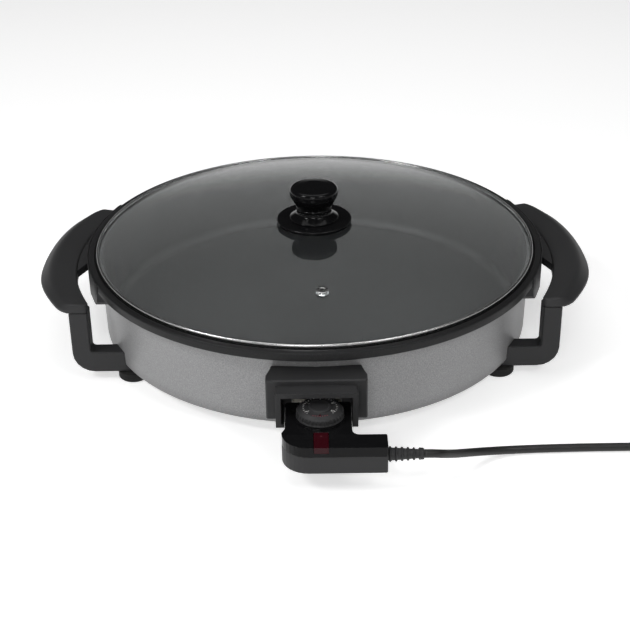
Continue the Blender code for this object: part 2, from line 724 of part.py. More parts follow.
def build_handle(side, word, axis, keep_out, finishes):
    last = GRIP_HALF_LENGTH - GRIP_TIP_ROUND
    stations = [last * (2 * i / GRIP_STATIONS - 1) for i in range(GRIP_STATIONS + 1)]
    rings = [grip_ring(-GRIP_HALF_LENGTH, side, GRIP_TIP_ROUND)]
    rings += [grip_ring(y, side, 0) for y in stations]
    rings.append(grip_ring(GRIP_HALF_LENGTH, side, GRIP_TIP_ROUND))
    piece(f"grip_{word}", lofted(rings), axis, finishes["matte_black"])

    lug_radius = WALL_RADIUS + LUG_THICKNESS
    lug_outline = rounded(
        [
            (-LUG_HALF_LENGTH, LUG_BOTTOM, LUG_CORNER),
            (LUG_HALF_LENGTH, LUG_BOTTOM, LUG_CORNER),
            (LUG_HALF_LENGTH, RIM_TOP, 0),
            (-LUG_HALF_LENGTH, RIM_TOP, 0),
        ]
    )
    start = WALL_RADIUS * LUG_BACK_SHARE
    bracket = piece(
        f"handle_bracket_{word}",
        extruded(lug_outline, side * start, side * (lug_radius + OVERRUN), "YZ"),
        axis,
        finishes["matte_black"],
    )
    reach = guide(
        piece(f"lug_reach_{word}", rod(lug_radius, 0, 2 * RIM_TOP, ROUND_STEPS), axis, finishes["matte_black"])
    )
    combine(bracket, reach, "INTERSECT")
    web_end = GRIP_INNER_RADIUS - GAP
    spread = math.asin(WEB_FLARE / web_end)
    tip = arc((0, 0), web_end, -spread, spread, 10)
    web_outline = [
        (WALL_RADIUS - OVERRUN, -WEB_HALF_WIDTH),
        (lug_radius, -WEB_HALF_WIDTH),
        *tip,
        (lug_radius, WEB_HALF_WIDTH),
        (WALL_RADIUS - OVERRUN, WEB_HALF_WIDTH),
    ]
    web = extruded([(side * x, y) for x, y in web_outline], WEB_BOTTOM, WEB_TOP)
    combine(bracket, guide(piece(f"web_{word}", web, axis, finishes["matte_black"])), "UNION")
    cut(bracket, keep_out)

    outer = LEG_X + LEG_DEPTH
    leg_outline = rounded(
        [
            (outer, LEG_TOP, 0),
            (outer, LEG_BAR_BOTTOM, LEG_OUTER_CORNER),
            (FOOT_X - FOOT_RADIUS, LEG_BAR_BOTTOM, 0),
            (FOOT_X - FOOT_RADIUS, LEG_BAR_TOP, 0),
            (LEG_X, LEG_BAR_TOP, LEG_INNER_CORNER),
            (LEG_X, LEG_TOP, 0),
        ],
        steps=5,
    )
    for end, end_word in ((-1, "front"), (1, "rear")):
        inner_y, outer_y = end * LEG_INNER_Y, end * LEG_OUTER_Y
        bm = extruded([(side * x, z) for x, z in leg_outline], inner_y, outer_y, "XZ")
        leg = piece(f"leg_{end_word}_{word}", bm, axis, finishes["matte_black"])
        soft = leg.modifiers.new("Soft edges", "BEVEL")
        soft.width = LEG_EDGE
        soft.segments = 1
        soft.limit_method = "ANGLE"
        soft.angle_limit = math.radians(50)
        cut(leg, keep_out)
        build_foot(side * FOOT_X, end * LEG_Y, f"{end_word}_{word}", leg, axis, finishes)


def build_foot(x, y, word, leg, axis, finishes):
    hole = FOOT_SCREW_RADIUS + SCREW_PLAY
    well = FOOT_SCREW_HEAD_RADIUS + SCREW_PLAY
    head_top = FOOT_SCREW_RECESS + FOOT_SCREW_HEAD
    outline = [
        (well, 0),
        (FOOT_RADIUS - FOOT_CHAMFER, 0),
        (FOOT_RADIUS, FOOT_CHAMFER),
        (FOOT_RADIUS, FOOT_TOP),
        (hole, FOOT_TOP),
        (hole, head_top + GAP),
        (well, head_top + GAP),
    ]
    bm = turned(outline, closed=True, steps=SMALL_STEPS)
    piece(f"foot_pad_{word}", bm, axis, finishes["rubber"], (x, y, 0))
    through = rod(hole, 0, RIM_TOP)
    cut(leg, guide(piece(f"leg_hole_{word}", through, axis, finishes["steel"], (x, y, 0))))
    length = BASE_UNDERSIDE + FOOT_SCREW_BITE - FOOT_SCREW_RECESS
    screw = screw_outline(FOOT_SCREW_RADIUS, length, FOOT_SCREW_HEAD_RADIUS, FOOT_SCREW_HEAD)
    bm = turned(screw, steps=TINY_STEPS)
    piece(f"foot_screw_{word}", bm, axis, finishes["steel"], (x, y, FOOT_SCREW_RECESS))


def build_guard(axis, keep_out, finishes):
    back = -(WALL_RADIUS - WALL)
    shoulder = GUARD_HALF_WIDTH - GUARD_CORNER
    plan = [
        (-GUARD_HALF_WIDTH, -GUARD_FRONT),
        (GUARD_HALF_WIDTH, -GUARD_FRONT),
        (GUARD_HALF_WIDTH, -RIM_RADIUS),
        (shoulder, -WALL_RADIUS),
        (shoulder, back),
        (-shoulder, back),
        (-shoulder, -WALL_RADIUS),
        (-GUARD_HALF_WIDTH, -RIM_RADIUS),
    ]
    hood = extruded(plan, GUARD_BOTTOM, GUARD_TOP)
    guard = piece("connector_guard", hood, axis, finishes["matte_black"])
    soft = guard.modifiers.new("Soft edges", "BEVEL")
    soft.width = GUARD_EDGE
    soft.segments = 1
    soft.limit_method = "ANGLE"
    soft.angle_limit = math.radians(50)
    sleeve = extruded(
        rounded(
            [
                (-SLEEVE_HALF_WIDTH, GUARD_BOTTOM, 0),
                (SLEEVE_HALF_WIDTH, GUARD_BOTTOM, 0),
                (SLEEVE_HALF_WIDTH, SLEEVE_TOP, SLEEVE_CORNER),
                (-SLEEVE_HALF_WIDTH, SLEEVE_TOP, SLEEVE_CORNER),
            ]
        ),
        -GUARD_FRONT + OVERRUN,
        -SLEEVE_FRONT,
        "XZ",
    )
    combine(guard, guide(piece("guard_sleeve", sleeve, axis, finishes["matte_black"])), "UNION")
    half = SLEEVE_HALF_WIDTH - SLEEVE_WALL
    plate_front = -(WALL_RADIUS + GUARD_PLATE)
    mouth = box(
        (-half, -SLEEVE_FRONT - OVERRUN, GUARD_BOTTOM + SLEEVE_LEDGE),
        (half, plate_front, SLEEVE_TOP - SLEEVE_WALL),
    )
    throat = box(
        (CONTROL_NECK_LEFT - 2 * GAP, -SLEEVE_FRONT - OVERRUN, GUARD_BOTTOM - OVERRUN),
        (CONTROL_NECK_RIGHT + 2 * GAP, plate_front, GUARD_BOTTOM + 2 * SLEEVE_LEDGE),
    )
    cut(guard, guide(piece("guard_throat", throat, axis, finishes["matte_black"])))
    cut(guard, guide(piece("guard_mouth", mouth, axis, finishes["matte_black"])))
    window_half = BLOCK_HALF_WIDTH + 3 * GAP
    window = box(
        (-window_half, plate_front - OVERRUN, GUARD_BOTTOM - OVERRUN),
        (window_half, back + OVERRUN, BLOCK_TOP + 3 * GAP),
    )
    cut(guard, guide(piece("guard_window", window, axis, finishes["matte_black"])))
    cut(guard, keep_out)
    upright = (math.radians(-90), 0, 0)
    for x, word in ((-GUARD_SCREW_X, "left"), (GUARD_SCREW_X, "right")):
        place = (x, plate_front - GAP - GUARD_SCREW_HEAD, GUARD_SCREW_Z)
        hole = rod(GUARD_SCREW_RADIUS + SCREW_PLAY, 0, GUARD_PLATE + WALL + OVERRUN)
        cut(guard, guide(piece(f"guard_hole_{word}", hole, axis, finishes["steel"], place, upright)))
        wall_y = math.sqrt(WALL_RADIUS**2 - x**2)
        taper = WALL_TAPER * (RIM_UNDERSIDE - GUARD_SCREW_Z) / (RIM_UNDERSIDE - BASE_UNDERSIDE)
        length = -place[1] - (wall_y - taper) - 2 * GAP - GUARD_SCREW_RADIUS / 4
        screw = screw_outline(GUARD_SCREW_RADIUS, length, GUARD_SCREW_HEAD_RADIUS, GUARD_SCREW_HEAD)
        piece(f"guard_screw_{word}", turned(screw, steps=TINY_STEPS), axis, finishes["steel"], place, upright)


def build_element(axis, keep_out, finishes):
    lie = BASE_UNDERSIDE - GAP - ELEMENT_RADIUS
    lead_x = PIN_SPACING / 2
    bend_x = lead_x + ELEMENT_BEND
    bend_y = -math.sqrt((ELEMENT_RING_RADIUS + ELEMENT_BEND) ** 2 - bend_x**2)
    toward = math.atan2(bend_y, bend_x)
    rise_y = LEAD_Y + ELEMENT_RISE_BEND
    rise_z = lie + ELEMENT_RISE_BEND
    quarter = arc((rise_y, rise_z), ELEMENT_RISE_BEND, math.pi, math.pi * 1.5, ELEMENT_BEND_STEPS)
    right = [Vector((lead_x, LEAD_Y, BLOCK_BOTTOM + LEAD_SEAT - GAP))]
    right += [Vector((lead_x, y, z)) for y, z in quarter]
    swing = arc((bend_x, bend_y), ELEMENT_BEND, math.pi, toward + math.pi, ELEMENT_BEND_STEPS)
    right += [Vector((x, y, lie)) for x, y in swing]
    ring = arc((0, 0), ELEMENT_RING_RADIUS, toward, math.pi - toward, ELEMENT_RING_STEPS)
    left = [Vector((-p.x, p.y, p.z)) for p in reversed(right)]
    points = right[:-1] + [Vector((x, y, lie)) for x, y in ring] + left[1:]
    element = cord_piece("heating_element", points, axis, finishes["dark_steel"], 2)
    element.data.bevel_depth = ELEMENT_RADIUS

    block = extruded(
        rounded(
            [
                (-BLOCK_HALF_WIDTH, BLOCK_BOTTOM, BLOCK_CORNER),
                (BLOCK_HALF_WIDTH, BLOCK_BOTTOM, BLOCK_CORNER),
                (BLOCK_HALF_WIDTH, BLOCK_TOP, BLOCK_CORNER),
                (-BLOCK_HALF_WIDTH, BLOCK_TOP, BLOCK_CORNER),
            ]
        ),
        -(WALL_RADIUS - WALL),
        -BLOCK_FRONT,
        "XZ",
    )
    block = piece("terminal_block", block, axis, finishes["ceramic"])
    cut(block, keep_out)
    ceramic = finishes["ceramic"]
    forward = (math.radians(90), 0, 0)
    hole = rod(PROBE_RADIUS + SCREW_PLAY * 4, 0, BLOCK_FRONT, SMALL_STEPS)
    place = (0, -BLOCK_FRONT / 2, PIN_HEIGHT)
    cut(block, guide(piece("probe_hole", hole, axis, ceramic, place, forward)))
    for x, word in ((-lead_x, "left"), (lead_x, "right")):
        lead = rod(ELEMENT_RADIUS + GAP, 0, BLOCK_BOTTOM + LEAD_SEAT)
        cut(block, guide(piece(f"lead_hole_{word}", lead, axis, ceramic, (x, LEAD_Y, 0))))
        place = (x, -BLOCK_FRONT + PIN_SEAT, PIN_HEIGHT)
        seat = rod(PIN_RADIUS + GAP, 0, PIN_LENGTH, SMALL_STEPS)
        cut(block, guide(piece(f"pin_hole_{word}", seat, axis, ceramic, place, forward)))
        pin = rod(PIN_RADIUS, GAP, PIN_LENGTH, SMALL_STEPS, PIN_TIP)
        piece(f"terminal_pin_{word}", pin, axis, finishes["steel"], place, forward)
    build_clips(lie, axis, finishes)


def build_clips(lie, axis, finishes):
    """Straps that hold the element up to the base."""
    inner = ELEMENT_RADIUS + CLIP_CLEARANCE
    outer = inner + CLIP_SHEET
    foot_top = BASE_UNDERSIDE - GAP
    foot_low = foot_top - CLIP_SHEET
    reach = outer + CLIP_FOOT
    bow = arc((0, lie), outer, math.pi, math.tau, 8)
    hollow = arc((0, lie), inner, math.tau, math.pi, 8)
    outline = [(-reach, foot_top), (-reach, foot_low), (-outer, foot_low), *bow]
    outline += [(outer, foot_low), (reach, foot_low), (reach, foot_top)]
    outline += [(inner, foot_top), *hollow, (-inner, foot_top)]
    for number in range(CLIP_COUNT):
        angle = math.pi / 2 + math.tau * number / CLIP_COUNT
        bm = extruded(outline, -CLIP_WIDTH / 2, CLIP_WIDTH / 2, "XZ")
        place = (ELEMENT_RING_RADIUS * math.cos(angle), ELEMENT_RING_RADIUS * math.sin(angle), 0)
        piece(f"element_clip_{number + 1}", bm, axis, finishes["dark_steel"], place, (0, 0, angle))


def control_outline(inset):
    """The control's outline seen from above, drawn in by an inset."""

    def out(radius):
        return max(radius - inset, MERGE_DISTANCE)

    turn = CONTROL_FRONT_ROUND
    centre = (CONTROL_LEFT + turn, CONTROL_FRONT + turn)
    front_left = [(x, y, 0) for x, y in arc(centre, turn - inset, math.pi, math.pi * 1.5, 8)]
    return rounded(
        [
            (CONTROL_NECK_LEFT + inset, CONTROL_BACK - inset, out(CONTROL_CORNER * 2)),
            (CONTROL_NECK_LEFT + inset, CONTROL_SHOULDER_Y + inset / 3, CONTROL_SHOULDER_ROUND),
            (CONTROL_LEFT + inset, CONTROL_SHOULDER_Y - CONTROL_SHOULDER_ROUND, 0),
            *front_left,
            (CONTROL_ARM_END - inset, CONTROL_FRONT + inset, out(CONTROL_CORNER)),
            (CONTROL_ARM_END - inset, CONTROL_ARM_BACK - inset, out(CONTROL_CORNER)),
            (CONTROL_NECK_RIGHT - inset, CONTROL_ARM_BACK - inset, CONTROL_ARM_ROUND + inset),
            (CONTROL_NECK_RIGHT - inset, CONTROL_BACK - inset, out(CONTROL_CORNER * 2)),
        ],
        steps=5,
    )


def control_form(low, high, top_round):
    """The control's solid between two heights, its top edge rounded except at the pan and the cord."""
    bm = extruded(control_outline(0), low, high)
    if top_round:
        ends = (CONTROL_BACK, CONTROL_ARM_END)

        def rounds(edge):
            a, b = (v.co for v in edge.verts)
            at_top = min(a.z, b.z) > high - MERGE_DISTANCE
            middle = (a + b) / 2
            return at_top and middle.y < ends[0] - OVERRUN / 2 and middle.x < ends[1] - OVERRUN / 2

        chosen = [edge for edge in bm.edges if rounds(edge)]
        bmesh.ops.bevel(
            bm,
            geom=chosen,
            offset=top_round,
            segments=4,
            profile=0.5,
            affect="EDGES",
            clamp_overlap=True,
        )
    return bm


def build_control(axis, finishes):
    hollow_outline = control_outline(SHELL_WALL)
    lower = piece(
        "control_lower_shell",
        extruded(control_outline(0), CONTROL_BOTTOM, CONTROL_SPLIT),
        axis,
        finishes["matte_black"],
    )
    well = extruded(hollow_outline, SHELL_FLOOR_Z, CONTROL_SPLIT + OVERRUN)
    cut(lower, guide(piece("lower_well", well, axis, finishes["matte_black"])))

    split = CONTROL_SPLIT + GAP
    upper = piece(
        "control_upper_shell", control_form(split, CONTROL_TOP, CONTROL_TOP_ROUND), axis, finishes["gloss_black"]
    )
    dial_place = (DIAL_X, DIAL_Y, 0)
    plinth = rod(PLINTH_RADIUS, split + OVERRUN, PLINTH_Z, MEDIUM_STEPS)
    combine(upper, guide(piece("dial_plinth", plinth, axis, finishes["gloss_black"], dial_place)), "UNION")
    cavity = extruded(hollow_outline, split - OVERRUN, SHELL_CEILING_Z)
    cut(upper, guide(piece("upper_cavity", cavity, axis, finishes["gloss_black"])))
    bore = rod(DIAL_SHAFT_RADIUS + GAP, SHELL_CEILING_Z - OVERRUN, PLINTH_Z + OVERRUN, SMALL_STEPS)
    cut(upper, guide(piece("shaft_bore", bore, axis, finishes["gloss_black"], dial_place)))

    half = LENS_WIDTH / 2
    slot = box(
        (LENS_X - half - GAP, CONTROL_FRONT - OVERRUN, LENS_BOTTOM - GAP),
        (LENS_X + half + GAP, LENS_BACK + GAP, PLINTH_Z + OVERRUN),
    )
    cut(upper, guide(piece("lens_slot", slot, axis, finishes["gloss_black"])))
    lens = piece(
        "indicator_lens", control_form(split, CONTROL_TOP, CONTROL_TOP_ROUND), axis, finishes["red_lens"]
    )
    lens_room = box(
        (LENS_X - half, CONTROL_FRONT - OVERRUN, LENS_BOTTOM),
        (LENS_X + half, LENS_BACK, PLINTH_Z + OVERRUN),
    )
    combine(lens, guide(piece("lens_room", lens_room, axis, finishes["red_lens"])), "INTERSECT")

    lamp_outline = [
        (0, 0, 0),
        (LAMP_RADIUS, 0, LAMP_RADIUS / 2),
        (LAMP_RADIUS, LAMP_LENGTH, LAMP_RADIUS),
        (0, LAMP_LENGTH, 0),
    ]
    lamp = turned(rounded(lamp_outline, closed=False), steps=TINY_STEPS)
    lamp_place = (LENS_X, LENS_BACK - GAP, LENS_BOTTOM - GAP - LAMP_RADIUS)
    piece("indicator_lamp", lamp, axis, finishes["lamp_glass"], lamp_place, (math.radians(90), 0, 0))

    build_shell_screws(lower, upper, axis, finishes)
    build_contacts(lower, axis, finishes)
    build_thermostat(axis, finishes)
    build_relief(axis, finishes)


def build_shell_screws(lower, upper, axis, finishes):
    steel = finishes["steel"]
    well = SHELL_SCREW_HEAD_RADIUS + SCREW_PLAY
    head_low = CONTROL_BOTTOM + GAP
    head_top = head_low + SHELL_SCREW_HEAD
    for number, (x, y) in enumerate(SHELL_SCREWS, 1):
        place = (x, y, 0)
        recess = rod(well, CONTROL_BOTTOM - OVERRUN, head_top + GAP)
        cut(lower, guide(piece(f"screw_recess_{number}", recess, axis, steel, place)))
        hole = rod(SHELL_SCREW_RADIUS + SCREW_PLAY, CONTROL_BOTTOM - OVERRUN, CONTROL_SPLIT)
        cut(lower, guide(piece(f"shell_hole_{number}", hole, axis, steel, place)))
        post_top = SHELL_CEILING_Z + SHELL_WALL / 2
        post = rod(SHELL_POST_RADIUS, SHELL_FLOOR_Z + GAP, post_top, SMALL_STEPS)
        combine(upper, guide(piece(f"shell_post_{number}", post, axis, finishes["gloss_black"], place)), "UNION")
        bore_top = head_low + SHELL_SCREW_LENGTH + GAP
        bore = rod(SHELL_SCREW_RADIUS + SCREW_PLAY, SHELL_FLOOR_Z - OVERRUN, bore_top)
        cut(upper, guide(piece(f"post_bore_{number}", bore, axis, steel, place)))
        screw = screw_outline(SHELL_SCREW_RADIUS, SHELL_SCREW_LENGTH, SHELL_SCREW_HEAD_RADIUS, SHELL_SCREW_HEAD)
        bm = turned(screw, steps=TINY_STEPS)
        piece(f"shell_screw_{number}", bm, axis, steel, (x, y, head_low))


def build_contacts(lower, axis, finishes):
    """A ceramic carrier behind the control's back wall holds two sockets and the temperature probe."""
    forward = (math.radians(90), 0, 0)
    wall_front = CONTROL_BACK - SHELL_WALL
    back = wall_front - CARRIER_SETBACK
    front = back - CARRIER_DEPTH
    carrier = piece(
        "contact_carrier",
        box((-CARRIER_HALF_WIDTH, front, SHELL_FLOOR_Z + GAP), (CARRIER_HALF_WIDTH, back, CARRIER_TOP)),
        axis,
        finishes["ceramic"],
    )
    bore = PIN_RADIUS + SOCKET_PLAY
    outside = bore + SOCKET_WALL
    for x, word in ((-PIN_SPACING / 2, "left"), (PIN_SPACING / 2, "right")):
        place = (x, CONTROL_BACK + OVERRUN, PIN_HEIGHT)
        hole = rod(bore, 0, SHELL_WALL + OVERRUN * 2, SMALL_STEPS)
        cut(lower, guide(piece(f"pin_entry_{word}", hole, axis, finishes["matte_black"], place, forward)))
        seat = rod(outside + GAP, 0, CARRIER_DEPTH + SOCKET_LENGTH, SMALL_STEPS)
        cut(carrier, guide(piece(f"socket_seat_{word}", seat, axis, finishes["ceramic"], place, forward)))
        socket = tube(bore, outside, 0, SOCKET_LENGTH, SMALL_STEPS)
        socket_place = (x, wall_front - GAP, PIN_HEIGHT)
        piece(f"contact_socket_{word}", socket, axis, finishes["brass"], socket_place, forward)
    place = (0, CONTROL_BACK + OVERRUN, PIN_HEIGHT)
    entry = rod(PROBE_RADIUS + GAP, 0, SHELL_WALL + OVERRUN * 2 + CARRIER_DEPTH, SMALL_STEPS)
    probe_entry = guide(piece("probe_entry", entry, axis, finishes["steel"], place, forward))
    cut(lower, probe_entry)
    cut(carrier, probe_entry)
    taper = WALL_TAPER * (RIM_UNDERSIDE - PIN_HEIGHT) / (RIM_UNDERSIDE - BASE_UNDERSIDE)
    tip = -(WALL_RADIUS - taper + PROBE_END_PLAY)
    probe = rod(PROBE_RADIUS, 0, tip - front, SMALL_STEPS)
    piece("probe_rod", probe, axis, finishes["steel"], (0, tip, PIN_HEIGHT), forward)


def build_thermostat(axis, finishes):
    """A bent sheet frame under the dial holds the strip that the dial's shaft presses."""
    back = CONTROL_BACK - SHELL_WALL - 2 * GAP - SOCKET_LENGTH
    front = back - FRAME_DEPTH
    low = SHELL_FLOOR_Z + GAP
    left, right = DIAL_X - FRAME_HALF_WIDTH, DIAL_X + FRAME_HALF_WIDTH
    sheet = FRAME_SHEET
    outline = [
        (left, FRAME_TOP),
        (left, low),
        (right, low),
        (right, FRAME_TOP),
        (right - sheet, FRAME_TOP),
        (right - sheet, low + sheet),
        (left + sheet, low + sheet),
        (left + sheet, FRAME_TOP),
    ]
    piece("thermostat_frame", extruded(outline, front, back, "XZ"), axis, finishes["dark_steel"])
    blade = box(
        (left + sheet + GAP, front, BLADE_HEIGHT),
        (right - sheet - GAP, back, BLADE_TOP),
    )
    piece("bimetal_blade", blade, axis, finishes["brass"])


def build_relief(axis, finishes):
    """The strain relief: a tapered sleeve with ribs, along +X."""
    start = CONTROL_ARM_END + GAP
    pitch = RELIEF_LENGTH / (RELIEF_RIBS + 0.5)
    outline = [(0, 0)]
    for i in range(RELIEF_RIBS):
        low = pitch * i
        share = low / RELIEF_LENGTH
        radius = RELIEF_ROOT_RADIUS + (RELIEF_END_RADIUS - RELIEF_ROOT_RADIUS) * share
        inner = radius - RELIEF_RIB_HEIGHT
        land, groove, end = (low + pitch * part for part in RELIEF_RIB_SHARES)
        outline += [(radius, low), (radius, land), (inner, groove), (inner, end)]
    outline += [
        (RELIEF_END_RADIUS, pitch * RELIEF_RIBS),
        (RELIEF_END_RADIUS, RELIEF_LENGTH),
        (0, RELIEF_LENGTH),
    ]
    bm = turned(outline, steps=SMALL_STEPS)
    place = (start, RELIEF_Y, RELIEF_HEIGHT)
    piece("strain_relief", bm, axis, finishes["matte_black"], place, (0, math.radians(90), 0))


def build_dial(axis, finishes):
    """The dial turns about its own axis, which is the axis empty's Z."""
    top = DIAL_BOTTOM + DIAL_HEIGHT
    seat = DIAL_SHAFT_RADIUS + GAP
    outline = [
        (0, DIAL_BOTTOM + DIAL_SHAFT_SEAT + GAP),
        (seat, DIAL_BOTTOM + DIAL_SHAFT_SEAT + GAP),
        (seat, DIAL_BOTTOM),
        (DIAL_RADIUS, DIAL_BOTTOM),
        (DIAL_RADIUS, top - (DIAL_RADIUS - DIAL_TOP_RADIUS) / 2),
        (DIAL_TOP_RADIUS, top),
        (DIAL_TOP_RADIUS - DIAL_RECESS, top),
        (DIAL_TOP_RADIUS - 2 * DIAL_RECESS, top - DIAL_RECESS),
        (DIAL_HUB_RADIUS + DIAL_RECESS, top - DIAL_RECESS),
        (DIAL_HUB_RADIUS, top + DIAL_HUB_HEIGHT / 2),
        (DIAL_HUB_RADIUS - DIAL_RECESS, top + DIAL_HUB_HEIGHT),
        (0, top + DIAL_HUB_HEIGHT),
    ]
    dial = piece("dial_knob", turned(outline, steps=MEDIUM_STEPS), axis, finishes["matte_black"])
    ring_middle = (DIAL_HUB_RADIUS + DIAL_TOP_RADIUS - DIAL_RECESS) / 2
    pocket = rod(POINTER_RADIUS + GAP, top - 2 * DIAL_RECESS - GAP, top + OVERRUN)
    place = (0, -ring_middle, 0)
    cut(dial, guide(piece("pointer_pocket", pocket, axis, finishes["red_lens"], place)))
    pointer = rod(POINTER_RADIUS, top - 2 * DIAL_RECESS, top - DIAL_RECESS / 2)
    piece("dial_pointer", pointer, axis, finishes["red_lens"], place)
    shaft = rod(DIAL_SHAFT_RADIUS, BLADE_TOP + GAP, DIAL_BOTTOM + DIAL_SHAFT_SEAT, SMALL_STEPS)
    piece("dial_shaft", shaft, axis, finishes["steel"])


def coil_points():
    """The wound part of the cord: in over two turns, up a layer at the middle, and out again."""
    points = [COIL_START - Vector((2 * CORD_RADIUS, 0, 0))]
    count = round(COIL_TURNS * COIL_TURN_POINTS)
    for i in range(count + 1):
        turn = i / COIL_TURN_POINTS
        radius = COIL_RADIUS - COIL_PITCH * (COIL_LAYER_TURNS - abs(turn - COIL_LAYER_TURNS))
        climb = min(max((turn - COIL_LAYER_TURNS) * 2 + 0.5, 0.0), 1.0)
        angle = math.tau * turn - math.pi / 2
        lift = COIL_LAYER * climb * climb * (3 - 2 * climb)
        points.append(COIL_CENTRE + Vector((radius * math.cos(angle), radius * math.sin(angle), lift)))
    points.append(points[-1] + Vector((0, 2 * CORD_RADIUS, 0)))
    return points


def least_gap(points):
    """The smallest air gap between the coil's turns, from points more than a quarter turn apart."""
    apart = COIL_TURN_POINTS // 4
    nearest = min((a - b).length for i, a in enumerate(points) for b in points[i + apart :])
    return nearest - 2 * CORD_RADIUS


def build_cord(axis, finishes):
    coil = coil_points()
    print("least gap between turns, mm:", round(least_gap(coil) * 1000, 2))
    start = Vector((CONTROL_ARM_END + 2 * GAP + RELIEF_LENGTH, RELIEF_Y, RELIEF_HEIGHT))
    spacing = CORD_RADIUS * CORD_POINT_SHARE
    straight = 2 * CORD_RADIUS
    coil_mouth = coil[0] - Vector((GAP, 0, 0))
    along_x = Vector((straight, 0, 0))
    along_y = Vector((0, straight, 0))
    route = [CORD_ORIGIN + Vector(point) for point in CORD_ROUTE]
    first = [start, start + along_x, *route, coil_mouth - along_x, coil_mouth]
    cord_piece("cord_run", smooth_route(first, spacing), axis, finishes["cord"], 2)
    cord_piece("cord_coil", coil, axis, finishes["cord"], 1)
    leave = coil[-1] + Vector((0, GAP, 0))
    face = PLUG_AXIS - Vector((0, PLUG_NECK_LENGTH + GAP, 0))
    tail = [CORD_ORIGIN + Vector(point) for point in TAIL_ROUTE]
    last = [leave, leave + along_y, *tail, face - along_y, face]
    cord_piece("cord_tail", smooth_route(last, spacing), axis, finishes["cord"], 2)

    inner = COIL_RADIUS - COIL_PITCH * COIL_LAYER_TURNS - CORD_RADIUS - GAP * 2
    outer = COIL_RADIUS + COIL_PITCH * (COIL_TURNS - 2 * COIL_LAYER_TURNS) + CORD_RADIUS + GAP * 2
    low = COIL_HEIGHT - CORD_RADIUS - GAP * 1.5
    high = COIL_HEIGHT + COIL_LAYER + CORD_RADIUS + GAP * 1.5
    strap = [
        (inner - TIE_SHEET, low - TIE_SHEET),
        (outer + TIE_SHEET, low - TIE_SHEET),
        (outer + TIE_SHEET, high + TIE_SHEET),
        (inner - TIE_SHEET, high + TIE_SHEET),
    ]
    hoop = extruded(strap, -TIE_WIDTH / 2, TIE_WIDTH / 2, "XZ")
    turn = (0, 0, TIE_ANGLE)
    place = (COIL_CENTRE.x, COIL_CENTRE.y, 0)
    tie = piece("cord_tie", hoop, axis, finishes["cord"], place, turn)
    room = extruded([(inner, low), (outer, low), (outer, high), (inner, high)], -TIE_WIDTH, TIE_WIDTH, "XZ")
    cut(tie, guide(piece("tie_room", room, axis, finishes["cord"], place, turn)))
    build_plug(axis, finishes)


def build_plug(axis, finishes):
    """A round two-pin mains plug that lies on its face rim, its pins towards +Y."""
    neck, grip = PLUG_NECK_LENGTH, PLUG_GRIP_LENGTH
    face = grip + PLUG_FACE_LENGTH
    outline = rounded(
        [
            (0, -neck, 0),
            (PLUG_NECK_RADIUS, -neck, 0),
            (PLUG_NECK_RADIUS, 0, 0),
            (PLUG_GRIP_RADIUS, grip / 4, grip / 6),
            (PLUG_GRIP_RADIUS * PLUG_WAIST_SHARE, grip * PLUG_WAIST_PLACE_SHARE, 0),
            (PLUG_FACE_RADIUS, grip, 0),
            (PLUG_FACE_RADIUS, face, PLUG_FACE_LENGTH / 8),
            (PLUG_FACE_RADIUS * PLUG_MOUTH_SHARE, face, 0),
            (PLUG_FACE_RADIUS * PLUG_MOUTH_SHARE, face - PLUG_RECESS, 0),
            (0, face - PLUG_RECESS, 0),
        ],
        closed=False,
    )
    lying = (math.radians(-90), 0, 0)
    body = piece("plug_body", turned(outline, steps=MEDIUM_STEPS), axis, finishes["matte_black"], PLUG_AXIS, lying)
    for side, word in ((-1, "left"), (1, "right")):
        place = PLUG_AXIS + Vector((side * PLUG_PIN_SPACING / 2, 0, 0))
        root = face - 3 * PLUG_RECESS / 2
        seat = rod(PLUG_PIN_RADIUS + GAP, root, face + OVERRUN)
        cut(body, guide(piece(f"plug_hole_{word}", seat, axis, finishes["matte_black"], place, lying)))
        tip = face - PLUG_RECESS + PLUG_PIN_LENGTH
        pin = rod(PLUG_PIN_RADIUS, root + GAP, tip, TINY_STEPS, PLUG_PIN_RADIUS / 2)
        piece(f"plug_pin_{word}", pin, axis, finishes["steel"], place, lying)


def make_finishes():
    return {
        "coating": material("pan_coating", (0.045, 0.046, 0.048), 0.42),
        "glass": material("lid_glass", (0.80, 0.83, 0.83), 0.04, alpha=0.25),
        "steel": material("bright_steel", (0.70, 0.70, 0.70), 0.22, 1.0),
        "dark_steel": material("element_steel", (0.22, 0.21, 0.20), 0.45, 1.0),
        "brass": material("contact_brass", (0.72, 0.55, 0.26), 0.30, 1.0),
        "matte_black": material("moulded_black", (0.018, 0.018, 0.019), 0.55),
        "gloss_black": material("polished_black", (0.008, 0.008, 0.009), 0.12),
        "rubber": material("foot_rubber", (0.020, 0.020, 0.020), 0.85),
        "ceramic": material("terminal_ceramic", (0.72, 0.69, 0.62), 0.60),
        "red_lens": material("red_lens", (0.35, 0.01, 0.015), 0.15),
        "lamp_glass": material("lamp_glass", (0.75, 0.62, 0.55), 0.10),
        "cord": material("cord_sheath", (0.016, 0.016, 0.016), 0.50),
    }


def main():
    for old in list(bpy.data.objects):
        bpy.data.objects.remove(old, do_unlink=True)
    finishes = make_finishes()
    pan = empty("pan_axis", None, (0, PAN_Y, 0))
    lid = empty("lid_lift_axis", pan, (0, 0, 0))
    control = empty("control_pull_axis", pan, (0, 0, 0))
    dial = empty("dial_turn_axis", control, (DIAL_X, DIAL_Y, 0))
    keep_out = build_pan(pan, finishes)
    build_element(pan, keep_out, finishes)
    build_guard(pan, keep_out, finishes)
    for side, word in ((-1, "left"), (1, "right")):
        build_handle(side, word, pan, keep_out, finishes)
    build_lid(lid, finishes)
    build_control(control, finishes)
    build_dial(dial, finishes)
    build_cord(control, finishes)


main()
